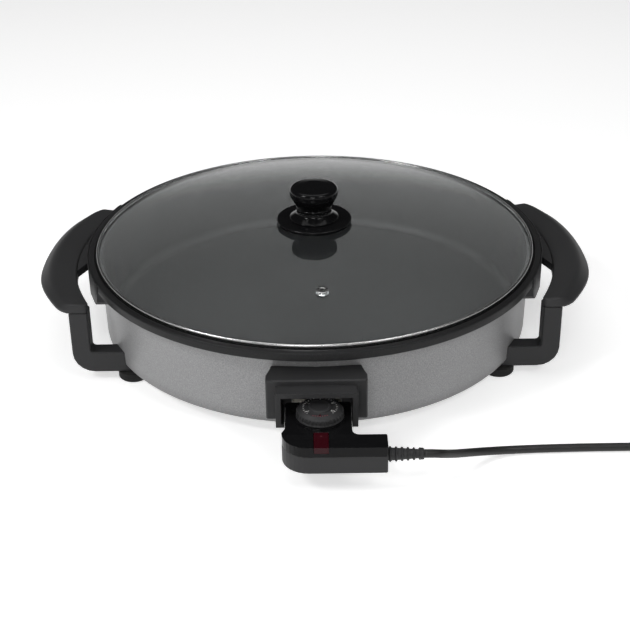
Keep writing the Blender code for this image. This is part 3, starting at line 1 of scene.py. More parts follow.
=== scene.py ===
# %% [markdown]
# A round electric grill pan: a pressed pan with a glass lid, two handles that are also its legs,
# and a control that plugs into its front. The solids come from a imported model, the fixed frame, and
# this file dresses them. Each step first says what the real piece is, then how it is made here.

# %% Load the frame
import json
import math

import bmesh
import bpy
from mathutils import Matrix, Vector


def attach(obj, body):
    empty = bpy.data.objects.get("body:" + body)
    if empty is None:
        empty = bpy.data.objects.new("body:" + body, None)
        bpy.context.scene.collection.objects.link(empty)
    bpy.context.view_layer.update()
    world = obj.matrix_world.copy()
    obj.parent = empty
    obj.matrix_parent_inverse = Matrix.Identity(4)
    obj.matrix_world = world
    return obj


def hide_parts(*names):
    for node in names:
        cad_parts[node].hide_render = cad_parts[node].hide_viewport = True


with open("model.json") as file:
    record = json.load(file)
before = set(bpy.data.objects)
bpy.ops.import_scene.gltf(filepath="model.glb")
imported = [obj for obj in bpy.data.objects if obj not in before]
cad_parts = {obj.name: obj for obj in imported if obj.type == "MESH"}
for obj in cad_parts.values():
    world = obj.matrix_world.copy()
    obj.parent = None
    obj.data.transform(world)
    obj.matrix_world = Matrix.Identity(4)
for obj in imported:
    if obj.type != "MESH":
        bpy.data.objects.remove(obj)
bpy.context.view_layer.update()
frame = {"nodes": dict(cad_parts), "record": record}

# %% [markdown]
# The pan's own axis stands 33 mm behind the middle of the footprint. Every measure below is taken
# from that axis, X to the right and Y to the back, and `settle` moves a finished mesh to its place.

# %% Shared sizes
PAN_Y = 0.033
RIM_RADIUS = 0.210
RIM_TOP = 0.089
WALL_RADIUS = 0.199
BASE_RADIUS = 0.1975
BASE_UNDERSIDE = 0.012
FLOOR_Z = 0.016
BAND_RADIUS = 0.202
GLASS_EDGE_TOP = 0.0908
GLASS_THICKNESS = 0.004
DOME_START = 0.1997
DOME_RISE = 0.0182
DOME_RADIUS = (DOME_START**2 + DOME_RISE**2) / (2 * DOME_RISE)
APEX = GLASS_EDGE_TOP + DOME_RISE


def dome_top(radius):
    return APEX - DOME_RADIUS + math.sqrt(DOME_RADIUS**2 - radius**2)


print("glass apex, mm:", round(APEX * 1000, 1))

# %% [markdown]
# The camera stands where the photograph's camera stood: 1.25 m from the pan, 27 degrees above it,
# with a short telephoto lens. A small roll puts the right handle as much higher as in the picture.

# %% Camera
lens_px = 1317
camera_data = bpy.data.cameras.new("camera")
camera_data.sensor_width = 36
camera_data.lens = lens_px / 630 * 36
camera_data.shift_y = -0.0614
camera_data.clip_start = 0.01
camera = bpy.data.objects.new("camera", camera_data)
bpy.context.scene.collection.objects.link(camera)
tilt = Matrix.Rotation(math.radians(90 - 27.15), 4, "X") @ Matrix.Rotation(math.radians(-0.8), 4, "Z")
camera.matrix_world = Matrix.Translation((0, PAN_Y - 1.1123, 0.6204)) @ tilt
bpy.context.scene.camera = camera
print("lens, mm:", round(camera_data.lens, 2))

# %% [markdown]
# Small helpers that every piece uses. `settle` gives a mesh its place, its material and its body.
# `rounded` draws an outline with an arc at each corner, so that no edge is a knife edge.


# %% Helpers for outlines and meshes
def rounded(corners, closed=True, steps=6):
    """Turn corners (u, v, radius) into points, with an arc at each corner that has a radius."""
    points = []
    for i, (u, v, radius) in enumerate(corners):
        here = Vector((u, v))
        if radius == 0 or (not closed and i in (0, len(corners) - 1)):
            points.append((u, v))
            continue
        before = Vector(corners[i - 1][:2]) - here
        after = Vector(corners[(i + 1) % len(corners)][:2]) - here
        half = before.angle(after) / 2
        reach = min(radius / math.tan(half), before.length / 2, after.length / 2)
        radius = reach * math.tan(half)
        middle = (before.normalized() + after.normalized()).normalized()
        centre = here + middle * (radius / math.sin(half))
        first = here + before.normalized() * reach - centre
        last = here + after.normalized() * reach - centre
        sweep = first.angle_signed(last)
        for k in range(steps + 1):
            points.append(tuple(centre + Matrix.Rotation(-sweep * k / steps, 2) @ first))
    return points


def new_object(name, bm):
    """Make an object at the origin from a bmesh."""
    mesh = bpy.data.meshes.new(name)
    bm.to_mesh(mesh)
    bm.free()
    made = bpy.data.objects.new(name, mesh)
    bpy.context.scene.collection.objects.link(made)
    return made


def outward(obj):
    """Merge doubles and point all faces out."""
    bm = bmesh.new()
    bm.from_mesh(obj.data)
    bmesh.ops.remove_doubles(bm, verts=bm.verts, dist=0.00001)
    bmesh.ops.recalc_face_normals(bm, faces=bm.faces)
    bm.to_mesh(obj.data)
    bm.free()


def bake_modifiers(obj):
    """Replace the mesh by what the modifiers make of it."""
    bpy.context.view_layer.update()
    seen = obj.evaluated_get(bpy.context.evaluated_depsgraph_get())
    mesh = bpy.data.meshes.new_from_object(seen)
    obj.modifiers.clear()
    obj.data = mesh
    return obj


def smooth(obj, angle=32):
    obj.data.shade_smooth()
    obj.data.set_sharp_from_angle(angle=math.radians(angle))


def settle(obj, body, slot, *materials, angle=32, place=None):
    """Move the mesh to its place from the pan's axis, and give it finish and body; the slot is not used."""
    move = Matrix.Translation((0, PAN_Y, 0)) @ (place if place is not None else Matrix())
    obj.data.transform(move)
    obj.data.materials.clear()
    for finish in materials:
        obj.data.materials.append(finish)
    smooth(obj, angle)
    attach(obj, body)
    return obj


def boolean(target, other, operation="DIFFERENCE"):
    """Cut or join another object, which is then deleted."""
    step = target.modifiers.new("boolean", "BOOLEAN")
    step.operation = operation
    step.object = other
    step.solver = "EXACT"
    bake_modifiers(target)
    bpy.data.objects.remove(other, do_unlink=True)
    return target


# %% [markdown]
# Shader maths reads best as Python. `Value` wraps one socket of a material, and its operators add
# Math nodes, so a mask can be written as `1 - ring * noise`. `node` makes every other kind of node.


# %% Shader expressions
class Value:
    def __init__(self, paint, socket):
        self.paint = paint
        self.socket = socket

    def _math(self, operation, *others):
        return self.paint.node("ShaderNodeMath", {"operation": operation}, self, *others)

    def __add__(self, other):
        return self._math("ADD", other)

    def __mul__(self, other):
        return self._math("MULTIPLY", other)

    def __sub__(self, other):
        return self._math("SUBTRACT", other)

    def __rsub__(self, other):
        return self.paint.node("ShaderNodeMath", {"operation": "SUBTRACT"}, other, self)

    def __truediv__(self, other):
        return self._math("DIVIDE", other)

    __radd__ = __add__
    __rmul__ = __mul__

    def above(self, edge, blur):
        """0 below an edge, 1 above it, with a soft step."""
        return self.paint.node(
            "ShaderNodeMapRange", {"interpolation_type": "SMOOTHSTEP"}, self, edge - blur, edge + blur
        )


class Paint:
    """A Principled material that is built one call at a time."""

    def __init__(self, name, **plain):
        self.material = bpy.data.materials.new(name)
        self.material.use_nodes = True
        self.tree = self.material.node_tree
        self.shader = self.tree.nodes["Principled BSDF"]
        for label, value in plain.items():
            self.shader.inputs[label.replace("_", " ")].default_value = value
        self.place = self.tree.nodes.new("ShaderNodeTexCoord").outputs["Object"]

    def node(self, kind, settings=None, *values, output=0, **named):
        made = self.tree.nodes.new(kind)
        stops = (settings or {}).pop("stops", None)
        for label, value in (settings or {}).items():
            setattr(made, label, value)
        if stops:
            ramp = made.color_ramp.elements
            while len(ramp) < len(stops):
                ramp.new(0.5)
            for element, (position, colour) in zip(ramp, stops):
                element.position = position
                element.color = (*colour, 1)
        for key, value in [*enumerate(values), *named.items()]:
            socket = made.inputs[key if isinstance(key, int) else key.replace("_", " ")]
            if isinstance(value, Value):
                value = value.socket
            if isinstance(value, bpy.types.NodeSocket):
                self.tree.links.new(value, socket)
            elif value is not None:
                socket.default_value = value
        return Value(self, made.outputs[output])

    def noise(self, scale, detail=2.0, roughness=0.5, where=None):
        where = self.place if where is None else where
        return self.node(
            "ShaderNodeTexNoise", None, Vector=where, Scale=scale, Detail=detail, Roughness=roughness
        )

    def moved(self, location=(0, 0, 0), scale=(1, 1, 1), rotation=(0, 0, 0)):
        return self.node(
            "ShaderNodeMapping", None, Vector=self.place, Location=location, Scale=scale, Rotation=rotation
        )

    def mix(self, share, one, two):
        """Blend two colours or colour sockets."""
        made = self.tree.nodes.new("ShaderNodeMix")
        made.data_type = "RGBA"
        for key, value in (("Factor_Float", share), ("A_Color", one), ("B_Color", two)):
            socket = next(s for s in made.inputs if s.identifier == key)
            if isinstance(value, Value):
                self.tree.links.new(value.socket, socket)
            else:
                socket.default_value = value if key == "Factor_Float" else (*value, 1)[:4]
        return Value(self, next(s for s in made.outputs if s.identifier == "Result_Color"))

    def set(self, label, value):
        self.tree.links.new(value.socket, self.shader.inputs[label])

    def bump(self, height, distance, strength=1.0, normal=None):
        made = self.node(
            "ShaderNodeBump", None, Strength=strength, Distance=distance, Height=height, Normal=normal
        )
        self.set("Normal", made)
        return made


print("shader helpers ready")

# %% [markdown]
# The outside of the pan has a grey lacquer with a fine silvery speckle, sprayed on and baked. Two
# noises give it: small light flecks in the colour, and a slight orange-peel bump in the gloss.
# The lowest few millimetres, by the base, are mixed a little darker.

# %% Lacquer and non-stick coating
lacquer = Paint("speckled_lacquer", Roughness=0.42, Metallic=0.25)
fleck = lacquer.noise(1500, 2, 0.7).above(0.55, 0.16)
cloud = lacquer.noise(24, 3, 0.5)
height = lacquer.node("ShaderNodeSeparateXYZ", None, lacquer.place, output=2)
ground = lacquer.mix(cloud, (0.235, 0.235, 0.238), (0.285, 0.285, 0.288))
speckled = lacquer.mix(fleck * 0.55, ground, (0.56, 0.56, 0.57))
lacquer.set("Base Color", lacquer.mix((1 - height.above(0.018, 0.008)) * 0.5, speckled, (0.10, 0.10, 0.10)))
lacquer.set("Roughness", 0.36 + fleck * 0.14 + cloud * 0.06)
lacquer.bump(lacquer.noise(900, 2, 0.5) + fleck * 0.4, 0.00012, 0.45)

coating = Paint("nonstick_coating", Roughness=0.4, Specular_IOR_Level=0.22)
grain = coating.noise(1800, 2, 0.6)
stain = coating.noise(14, 4, 0.6)
coating.set(
    "Base Color",
    coating.mix(grain.above(0.62, 0.08) * 0.5, (0.011, 0.011, 0.0115), (0.045, 0.045, 0.047)),
)
coating.set("Roughness", 0.34 + stain * 0.14)
coating.bump(grain, 0.00008, 0.5)
print("pan finishes ready")

# %% [markdown]
# The handles, legs, guard and the control's lower shell are black phenolic plastic with a fine spark
# texture. The control's top and the lid's knob are the same black, polished, with faint swirls.

# %% Black plastics
moulded = Paint("moulded_black", Roughness=0.5, Specular_IOR_Level=0.35)
spark = moulded.noise(1400, 3, 0.6)
handling = moulded.noise(18, 3, 0.55)
soft_edge = moulded.node("ShaderNodeBevel", {"samples": 4}, Radius=0.0007)
moulded.set("Base Color", moulded.mix(handling, (0.020, 0.020, 0.021), (0.029, 0.029, 0.030)))
moulded.set("Roughness", 0.44 + spark * 0.12 + handling * 0.08)
moulded.bump(spark, 0.0001, 0.35, soft_edge)

polished = Paint("polished_black", Roughness=0.09, Specular_IOR_Level=0.14)
wipe = polished.noise(60, 4, 0.6, polished.moved(scale=(1, 5, 1), rotation=(0, 0, 0.4)))
polished.set("Base Color", polished.mix(wipe, (0.0045, 0.0045, 0.005), (0.008, 0.008, 0.0085)))
polished.set("Roughness", 0.06 + wipe * 0.09)
polished_edge = polished.node("ShaderNodeBevel", {"samples": 4}, Radius=0.0005)
polished.bump(polished.noise(500, 1, 0.5), 0.00002, 0.25, polished_edge)
print("plastics ready")

# %% [markdown]
# Bright parts are stainless steel that was turned or rolled, so their fine lines run round the axis.
# Noise stretched along the height of the piece, or round its axis, gives those lines.

# %% Metals
stainless = Paint("stainless_steel", Metallic=1.0, Roughness=0.25)
from_axis = stainless.moved(location=(0, -PAN_Y, 0))
radius = stainless.node("ShaderNodeVectorMath", {"operation": "LENGTH"}, from_axis, output=1)
rings = stainless.node(
    "ShaderNodeTexNoise", {"noise_dimensions": "1D"}, W=radius * 1500, Scale=4.0, Detail=3.0,
)
stainless.set("Base Color", stainless.mix(rings, (0.55, 0.55, 0.56), (0.78, 0.78, 0.77)))
stainless.set("Roughness", 0.17 + rings * 0.16)
stainless.bump(rings, 0.00003, 0.3)

hot_steel = Paint("element_steel", Metallic=0.9, Roughness=0.45)
heat = hot_steel.noise(35, 4, 0.6)
hot_steel.set("Base Color", hot_steel.mix(heat, (0.16, 0.145, 0.13), (0.30, 0.28, 0.27)))
hot_steel.set("Roughness", 0.34 + heat * 0.25)
hot_steel.bump(hot_steel.noise(700, 2, 0.6), 0.00004, 0.4)

brass = Paint("contact_brass", Metallic=1.0, Roughness=0.3)
tarnish = brass.noise(90, 4, 0.6)
brass.set("Base Color", brass.mix(tarnish, (0.62, 0.44, 0.19), (0.80, 0.62, 0.31)))
brass.set("Roughness", 0.2 + tarnish * 0.22)
print("metals ready")

# %% [markdown]
# The rest: matt rubber feet, the cord's satin sheath, unglazed ceramic, a red lens and its lamp.

# %% Rubber, ceramic and lens
rubber = Paint("foot_rubber", Roughness=0.8, Specular_IOR_Level=0.25)
dust = rubber.noise(120, 4, 0.6)
rubber.set(
    "Base Color", rubber.mix(dust.above(0.55, 0.15) * 0.4, (0.018, 0.018, 0.018), (0.055, 0.053, 0.05)),
)
rubber.set("Roughness", 0.72 + dust * 0.2)
rubber.bump(rubber.noise(1200, 2, 0.6), 0.0001, 0.5)

sheath = Paint("cord_sheath", Roughness=0.42, Specular_IOR_Level=0.4)
draw = sheath.noise(260, 3, 0.6)
sheath.set("Base Color", sheath.mix(draw, (0.010, 0.010, 0.010), (0.020, 0.020, 0.020)))
sheath.set("Roughness", 0.34 + draw * 0.2)
sheath.bump(draw, 0.00006, 0.4)

ceramic = Paint("terminal_ceramic", Roughness=0.6)
fired = ceramic.noise(160, 4, 0.6)
ceramic.set("Base Color", ceramic.mix(fired, (0.60, 0.57, 0.49), (0.76, 0.73, 0.66)))
ceramic.set("Roughness", 0.5 + fired * 0.25)
ceramic.bump(ceramic.noise(900, 2, 0.6), 0.0001, 0.4)

red_lens = Paint("red_lens", Roughness=0.10, Base_Color=(0.16, 0.004, 0.008, 1), Specular_IOR_Level=0.2)
from_lamp = red_lens.moved(location=(-0.003, 0.2595 - PAN_Y, -0.041))
away = red_lens.node("ShaderNodeVectorMath", {"operation": "LENGTH"}, from_lamp, output=1)
# Painted glow: a pale pink spot is mixed into the lens colour in front of the lamp, in place of the lamp's
# light.
painted_lamp_glow = 1 - away.above(0.0017, 0.0012)
red_lens.set("Base Color", red_lens.mix(painted_lamp_glow, (0.035, 0.002, 0.005), (0.85, 0.30, 0.36)))

lamp_glass = Paint("lamp_glass", Roughness=0.1, Base_Color=(0.75, 0.5, 0.4, 1), Transmission_Weight=0.6)
lamp_glass.set("Roughness", 0.06 + lamp_glass.noise(200, 2, 0.5) * 0.1)

white_print = Paint("white_print", Roughness=0.5)
white_print.set(
    "Base Color",
    white_print.mix(white_print.noise(900, 2, 0.6), (0.55, 0.55, 0.54), (0.80, 0.80, 0.78)),
)
red_print = Paint("red_print", Roughness=0.5)
red_print.set(
    "Base Color", red_print.mix(red_print.noise(900, 2, 0.6), (0.40, 0.06, 0.09), (0.62, 0.16, 0.20)),
)
print("small finishes ready")

# %% [markdown]
# Tempered glass is clear, slightly green at depth, and reflects the room weakly. Light has to reach
# the food through it, so shadow and diffuse rays go straight through by a Transparent shader.

# %% Glass
glass = Paint(
    "tempered_glass",
    Roughness=0.0,
    Base_Color=(0.93, 0.95, 0.95, 1),
    Transmission_Weight=1.0,
    IOR=1.4,
    Specular_IOR_Level=0.35,
)
smear = glass.noise(9, 4, 0.65)
glass.set("Roughness", smear.above(0.62, 0.1) * 0.02)
through = glass.tree.nodes.new("ShaderNodeBsdfTransparent")
through.inputs["Color"].default_value = (0.92, 0.94, 0.94, 1)
rays = glass.tree.nodes.new("ShaderNodeLightPath")
either = glass.node(
    "ShaderNodeMath", {"operation": "MAXIMUM"}, rays.outputs["Is Shadow Ray"], rays.outputs["Is Diffuse Ray"]
)
both = glass.node("ShaderNodeMixShader", None, either, glass.shader.outputs[0], through.outputs[0])
glass.tree.links.new(both.socket, glass.tree.nodes["Material Output"].inputs["Surface"])
print("glass ready")

# %% [markdown]
# The cord leaves the control through its strain relief, falls to the table in a soft bend and lies
# along it to the right, where the photograph ends. The rest of its length is put away in a coil with
# the plug beside it. One curve with a round section is the whole cord.

# %% Cord route
CORD_RADIUS = 0.0034
ARM_END = 0.0545
RELIEF_Y = -0.266
RELIEF_HEIGHT = 0.0305
RELIEF_LENGTH = 0.028
CORD_ORIGIN = Vector((ARM_END, RELIEF_Y, 0))
COIL_RADIUS = 0.04475
CORD_ROUTE = (
    (0.0440, 0.0040, 0.0272),
    (0.0538, 0.0135, 0.0205),
    (0.0678, 0.0255, 0.0132),
    (0.0819, 0.0340, 0.0082),
    (0.0998, 0.0402, 0.0048),
    (0.1173, 0.0426, 0.0038),
    (0.1435, 0.0436, 0.0037),
    (0.1762, 0.0440, 0.0037),
    (0.2282, 0.0440, 0.0037),
)
COIL_START = CORD_ORIGIN + Vector((0.2675, 0.0440, 0.0048))
COIL_CENTRE = COIL_START + Vector((0, COIL_RADIUS, 0))
TAIL_ROUTE = (
    (0.3147, 0.1140, 0.0092),
    (0.3165, 0.1280, 0.0066),
    (0.3135, 0.1420, 0.0090),
)
PLUG_AXIS = CORD_ORIGIN + Vector((0.3025, 0.1760, 0.0188))


def smooth_route(route, spacing):
    """Even points on a smooth curve through a route, with straight first and last stretches."""
    knots = [Vector(p) for p in route]
    knots = [2 * knots[0] - knots[1]] + knots + [2 * knots[-1] - knots[-2]]
    fine = []
    for a, b, c, d in zip(knots, knots[1:], knots[2:], knots[3:]):
        for k in range(12):
            t = k / 12
            bend = 2 * a - 5 * b + 4 * c - d
            twist = 3 * b - a - 3 * c + d
            fine.append((2 * b + (c - a) * t + bend * t**2 + twist * t**3) / 2)
    fine.append(knots[-2])
    lengths = [0.0]
    for one, two in zip(fine, fine[1:]):
        lengths.append(lengths[-1] + (two - one).length)
    count = max(2, round(lengths[-1] / spacing))
    points = []
    for i in range(count + 1):
        want = lengths[-1] * i / count
        k = min(max(j for j in range(len(lengths)) if lengths[j] <= want), len(fine) - 2)
        share = (want - lengths[k]) / (lengths[k + 1] - lengths[k])
        points.append(fine[k].lerp(fine[k + 1], share))
    ends = (Vector(route[1]), Vector(route[-2]))
    straight = (ends[0] - Vector(route[0])).length
    lying = [p for p in points[1:-1] if min((p - end).length for end in ends) > straight]
    return [Vector(route[0]), ends[0], *lying, ends[1], Vector(route[-1])]


def coil_points():
    """The wound part: in over two turns, up a layer at the middle, and out again."""
    points = []
    for i in range(round(4.25 * 24) + 1):
        turn = i / 24
        wound = COIL_RADIUS - 0.0075 * (2 - abs(turn - 2))
        climb = min(max((turn - 2) * 2 + 0.5, 0.0), 1.0)
        angle = math.tau * turn - math.pi / 2
        lift = 0.0074 * climb * climb * (3 - 2 * climb)
        points.append(COIL_CENTRE + Vector((wound * math.cos(angle), wound * math.sin(angle), lift)))
    return points


coil = coil_points()
cord_start = Vector((ARM_END + 0.0006 + RELIEF_LENGTH, RELIEF_Y, RELIEF_HEIGHT))
ahead = Vector((2 * CORD_RADIUS, 0, 0))
back = Vector((0, 2 * CORD_RADIUS, 0))
spacing = CORD_RADIUS * 4.4
lying = [
    cord_start, cord_start + ahead, *(CORD_ORIGIN + Vector(p) for p in CORD_ROUTE), coil[0] - 2 * ahead,
    coil[0] - ahead,
]
tail_start = coil[-1] + back
plug_neck = PLUG_AXIS - Vector((0, 0.0103, 0))
leaving = [
    tail_start, tail_start + back, *(CORD_ORIGIN + Vector(p) for p in TAIL_ROUTE), plug_neck - back,
    plug_neck,
]
path = smooth_route(lying, spacing) + coil + smooth_route(leaving, spacing)
path = [p + Vector((0, PAN_Y, 0)) for p in path]
cord_length = sum((b - a).length for a, b in zip(path, path[1:]))
print("cord, m:", round(cord_length, 3), "points:", len(path))

# %% Cord
curve = bpy.data.curves.new("mains_cord", "CURVE")
curve.dimensions = "3D"
curve.bevel_depth = CORD_RADIUS
curve.bevel_resolution = 5
curve.use_fill_caps = True
curve.resolution_u = 3
spline = curve.splines.new("NURBS")
spline.points.add(len(path) - 1)
for point, where in zip(spline.points, path):
    point.co = (*where, 1)
spline.order_u = 3
spline.use_endpoint_u = True
curve.materials.append(sheath.material)
cord = bpy.data.objects.new("mains_cord", curve)
bpy.context.scene.collection.objects.link(cord)
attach(cord, "control")
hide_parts("cord_run", "cord_coil", "cord_tail")

# %% [markdown]
# Most parts of the pan are turned or pressed round an axis. A Geometry Nodes tree does the same with
# any half section: it takes the section as a row of edges, sweeps it round a circle and merges the
# poles. One tree serves all the round pieces, and only the number of steps changes.


# %% A tree that turns a section round an axis
def tree_of(name, **sizes):
    """Start a Geometry Nodes tree with named inputs."""
    tree = bpy.data.node_groups.new(name, "GeometryNodeTree")
    tree.is_modifier = True
    tree.interface.new_socket("Geometry", in_out="INPUT", socket_type="NodeSocketGeometry")
    tree.interface.new_socket("Geometry", in_out="OUTPUT", socket_type="NodeSocketGeometry")
    for label, value in sizes.items():
        kind = "Int" if isinstance(value, int) else "Float"
        if value is None:
            kind = "Material"
        socket = tree.interface.new_socket(label, in_out="INPUT", socket_type="NodeSocket" + kind)
        if value is not None:
            socket.default_value = value
    start = tree.nodes.new("NodeGroupInput")
    end = tree.nodes.new("NodeGroupOutput")
    return tree, start, end


def add(tree, kind, settings=None, **links):
    """Add a node, with its settings first and then its inputs."""
    made = tree.nodes.new(kind)
    for label, value in (settings or {}).items():
        setattr(made, label, value)
    for label, value in links.items():
        socket = made.inputs[label.replace("_", " ")]
        if isinstance(value, bpy.types.NodeSocket):
            tree.links.new(value, socket)
        else:
            socket.default_value = value
    return made


def close(tree, start, end, geometry):
    """Every tree ends with plain geometry that carries its material."""
    plain = add(tree, "GeometryNodeRealizeInstances", Geometry=geometry)
    painted = add(
        tree, "GeometryNodeSetMaterial", Geometry=plain.outputs[0], Material=start.outputs["Finish"],
    )
    tree.links.new(painted.outputs[0], end.inputs[0])
    return tree


def grow(obj, tree, finish, **sizes):
    """Run a tree on an object and keep the result as its mesh."""
    step = obj.modifiers.new(tree.name, "NODES")
    step.node_group = tree
    known = {item.name: item.identifier for item in tree.interface.items_tree if item.in_out == "INPUT"}
    step[known["Finish"]] = finish.material
    for label, value in sizes.items():
        step[known[label]] = value
    return bake_modifiers(obj)


turning, start, end = tree_of("turn_round_axis", Steps=96, Finish=None)
section = add(turning, "GeometryNodeMeshToCurve", Mesh=start.outputs["Geometry"])
circle = add(turning, "GeometryNodeCurvePrimitiveCircle", Resolution=start.outputs["Steps"], Radius=1.0)
swept = add(turning, "GeometryNodeCurveToMesh", Curve=circle.outputs[0], Profile_Curve=section.outputs[0])
merged = add(turning, "GeometryNodeMergeByDistance", Geometry=swept.outputs[0], Distance=0.00002)
close(turning, start, end, merged.outputs[0])


def turned(name, outline, finish, steps=96, closed=False):
    """Turn a half section (radius, height) round the Z axis."""
    bm = bmesh.new()
    verts = [bm.verts.new((r - 1.0, -z, 0)) for r, z in outline]
    for pair in zip(verts, verts[1:] + verts[:1] * closed):
        bm.edges.new(pair)
    obj = new_object(name, bm)
    grow(obj, turning, finish, Steps=steps)
    outward(obj)
    return obj


print("turning tree ready")

# %% [markdown]
# The pan is pressed from 3 mm aluminium. Its wall leans in slightly towards the base, and its rim
# turns out into a flat band with a step inside it, where the lid sits. The rim and the inside carry
# the black coating, and the outside of the wall and the base carry the lacquer.

# %% Pan
pan_outline = rounded(
    [
        (0.0, FLOOR_Z, 0),
        (0.1945, FLOOR_Z, 0.009),
        (0.1960, 0.0800, 0.004),
        (0.1962, 0.0855, 0.0005),
        (0.2040, 0.0855, 0.0005),
        (0.2040, RIM_TOP, 0.0010),
        (RIM_RADIUS, RIM_TOP, 0.0016),
        (RIM_RADIUS, 0.0810, 0.0010),
        (WALL_RADIUS, 0.0810, 0.0006),
        (BASE_RADIUS, BASE_UNDERSIDE, 0.006),
        (0.0, BASE_UNDERSIDE, 0),
    ],
    closed=False,
    steps=8,
)
pan = turned("pan", pan_outline, coating, 192)
settle(pan, "pan", "pan_body", coating.material, lacquer.material, angle=40)
for face in pan.data.polygons:
    x, y, z = face.center
    out = math.hypot(x, y - PAN_Y)
    outside = z < 0.0812 and out > 0.1966 and face.normal.z < 0.5
    underside = z < 0.0135 and face.normal.z < 0
    face.material_index = int((outside or underside or z < FLOOR_Z - 0.0005) and z < 0.0808)
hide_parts("pan_shell")
print("pan faces:", len(pan.data.polygons))

# %% [markdown]
# The lid is one dish of tempered glass with a folded steel band round its edge. Both are turned. A
# small steel grommet with a bore lets the steam out in front of the knob.

# %% Lid glass and band
reach = [0.0045 + (DOME_START - 0.0045) * i / 40 for i in range(41)]
glass_top = [(r, dome_top(r)) for r in reversed(reach)]
glass_low = [(r, dome_top(r) - GLASS_THICKNESS) for r in reach]
glass_outline = [
    (0.2008, GLASS_EDGE_TOP - 0.0004),
    (0.2004, GLASS_EDGE_TOP),
    *glass_top,
    *glass_low,
    (0.2004, GLASS_EDGE_TOP - GLASS_THICKNESS),
    (0.2008, GLASS_EDGE_TOP - GLASS_THICKNESS + 0.0004),
]
lid_glass = turned("lid_glass_dish", glass_outline, glass, 160, True)
vent_x, vent_y = 0.006, -0.127
vent_radius = math.hypot(vent_x, vent_y)
heading = Matrix.Rotation(math.atan2(vent_y, vent_x), 4, "Z")
lean = heading @ Matrix.Rotation(math.asin(vent_radius / DOME_RADIUS), 4, "Y") @ heading.inverted()
vent_place = Matrix.Translation((vent_x, vent_y, dome_top(vent_radius))) @ lean
hole_outline = [(0, -0.02), (0.0040, -0.02), (0.0040, 0.02), (0, 0.02)]
vent_hole = turned("vent_hole", hole_outline, glass, 24)
vent_hole.data.transform(vent_place)
boolean(lid_glass, vent_hole)
settle(lid_glass, "lid", "lid_glass", glass.material, angle=30)
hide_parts("lid_glass")

band_outline = rounded(
    [
        (0.2000, 0.0858, 0.0002),
        (BAND_RADIUS, 0.0858, 0.0010),
        (BAND_RADIUS, 0.0918, 0.0012),
        (0.2000, 0.0918, 0.00025),
        (0.2000, 0.0911, 0.0001),
        (0.2013, 0.0911, 0.0004),
        (0.2013, 0.0865, 0.0004),
        (0.2000, 0.0865, 0.0001),
    ],
    steps=4,
)
lid_band = turned("lid_steel_band", band_outline, stainless, 192, True)
settle(lid_band, "lid", "bright_steel", stainless.material, angle=50)
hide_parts("lid_band")

grommet_outline = rounded(
    [
        (0.00225, -0.0052, 0.0002),
        (0.0055, -0.0052, 0.0004),
        (0.0055, -0.0043, 0.0001),
        (0.0037, -0.0043, 0.0001),
        (0.0037, 0.0003, 0.0001),
        (0.0055, 0.0003, 0.0001),
        (0.0055, 0.0012, 0.0008),
        (0.00225, 0.0012, 0.0005),
    ],
    steps=4,
)
grommet = turned("steam_grommet", grommet_outline, stainless, 40, True)
settle(grommet, "lid", "bright_steel", stainless.material, angle=50, place=vent_place)
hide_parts("vent_grommet")
print("lid parts:", lid_glass.name, lid_band.name, grommet.name)

# %% [markdown]
# The knob is a mushroom on a cone, over a flat disc that keeps the hand off the hot glass. Both are
# polished, so their rounded edges catch the lamps as small bright marks.

# %% Knob and its guard disc
disc_top = APEX + 0.0003 + 0.0024
disc_outline = rounded(
    [
        (0.0023, disc_top, 0),
        (0.0348, disc_top, 0.0011),
        (0.0348, dome_top(0.0348) + 0.0003, 0.0003),
        (0.0175, dome_top(0.0175) + 0.0003, 0),
        (0.0023, APEX + 0.0003, 0),
    ],
    steps=5,
)
disc = turned("knob_disc", disc_outline, polished, 96, True)
settle(disc, "lid", "polished_black", polished.material)
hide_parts("knob_guard_disc")

base = disc_top + 0.0003
knob_outline = [
    (0.0, base + 0.016),
    (0.0023, base + 0.016),
    *rounded(
        [
            (0.0023, base, 0),
            (0.0225, base, 0.0002),
            (0.0225, base + 0.0012, 0.0007),
            (0.0160, base + 0.0052, 0.0035),
            (0.0156, base + 0.0092, 0.0030),
            (0.0163, base + 0.0098, 0.0004),
            (0.0163, base + 0.0108, 0.0004),
            (0.0157, base + 0.0114, 0.0008),
            (0.0222, base + 0.0225, 0.0090),
            (0.0228, base + 0.0305, 0.0040),
            (0.0110, base + 0.0318, 0.0160),
            (0.0, base + 0.0318, 0),
        ],
        closed=False,
        steps=8,
    ),
]
knob = turned("knob", knob_outline, polished, 96)
settle(knob, "lid", "polished_black", polished.material, angle=50)
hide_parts("lid_knob")
print("knob top, mm:", round((base + 0.0318) * 1000, 1))

# %% [markdown]
# Each grip is a crescent that widens to the middle. Its section changes along the way, so it is
# lofted: one ring of points at each station, joined to the next, with small rings at the two ends
# that round them off.

# %% Grips
GRIP_INNER = 0.221
GRIP_ARC = 0.175
GRIP_CENTRE = 0.2559 - GRIP_ARC
GRIP_HALF = 0.102
GRIP_TOP = 0.078
GRIP_CORNER = 0.008


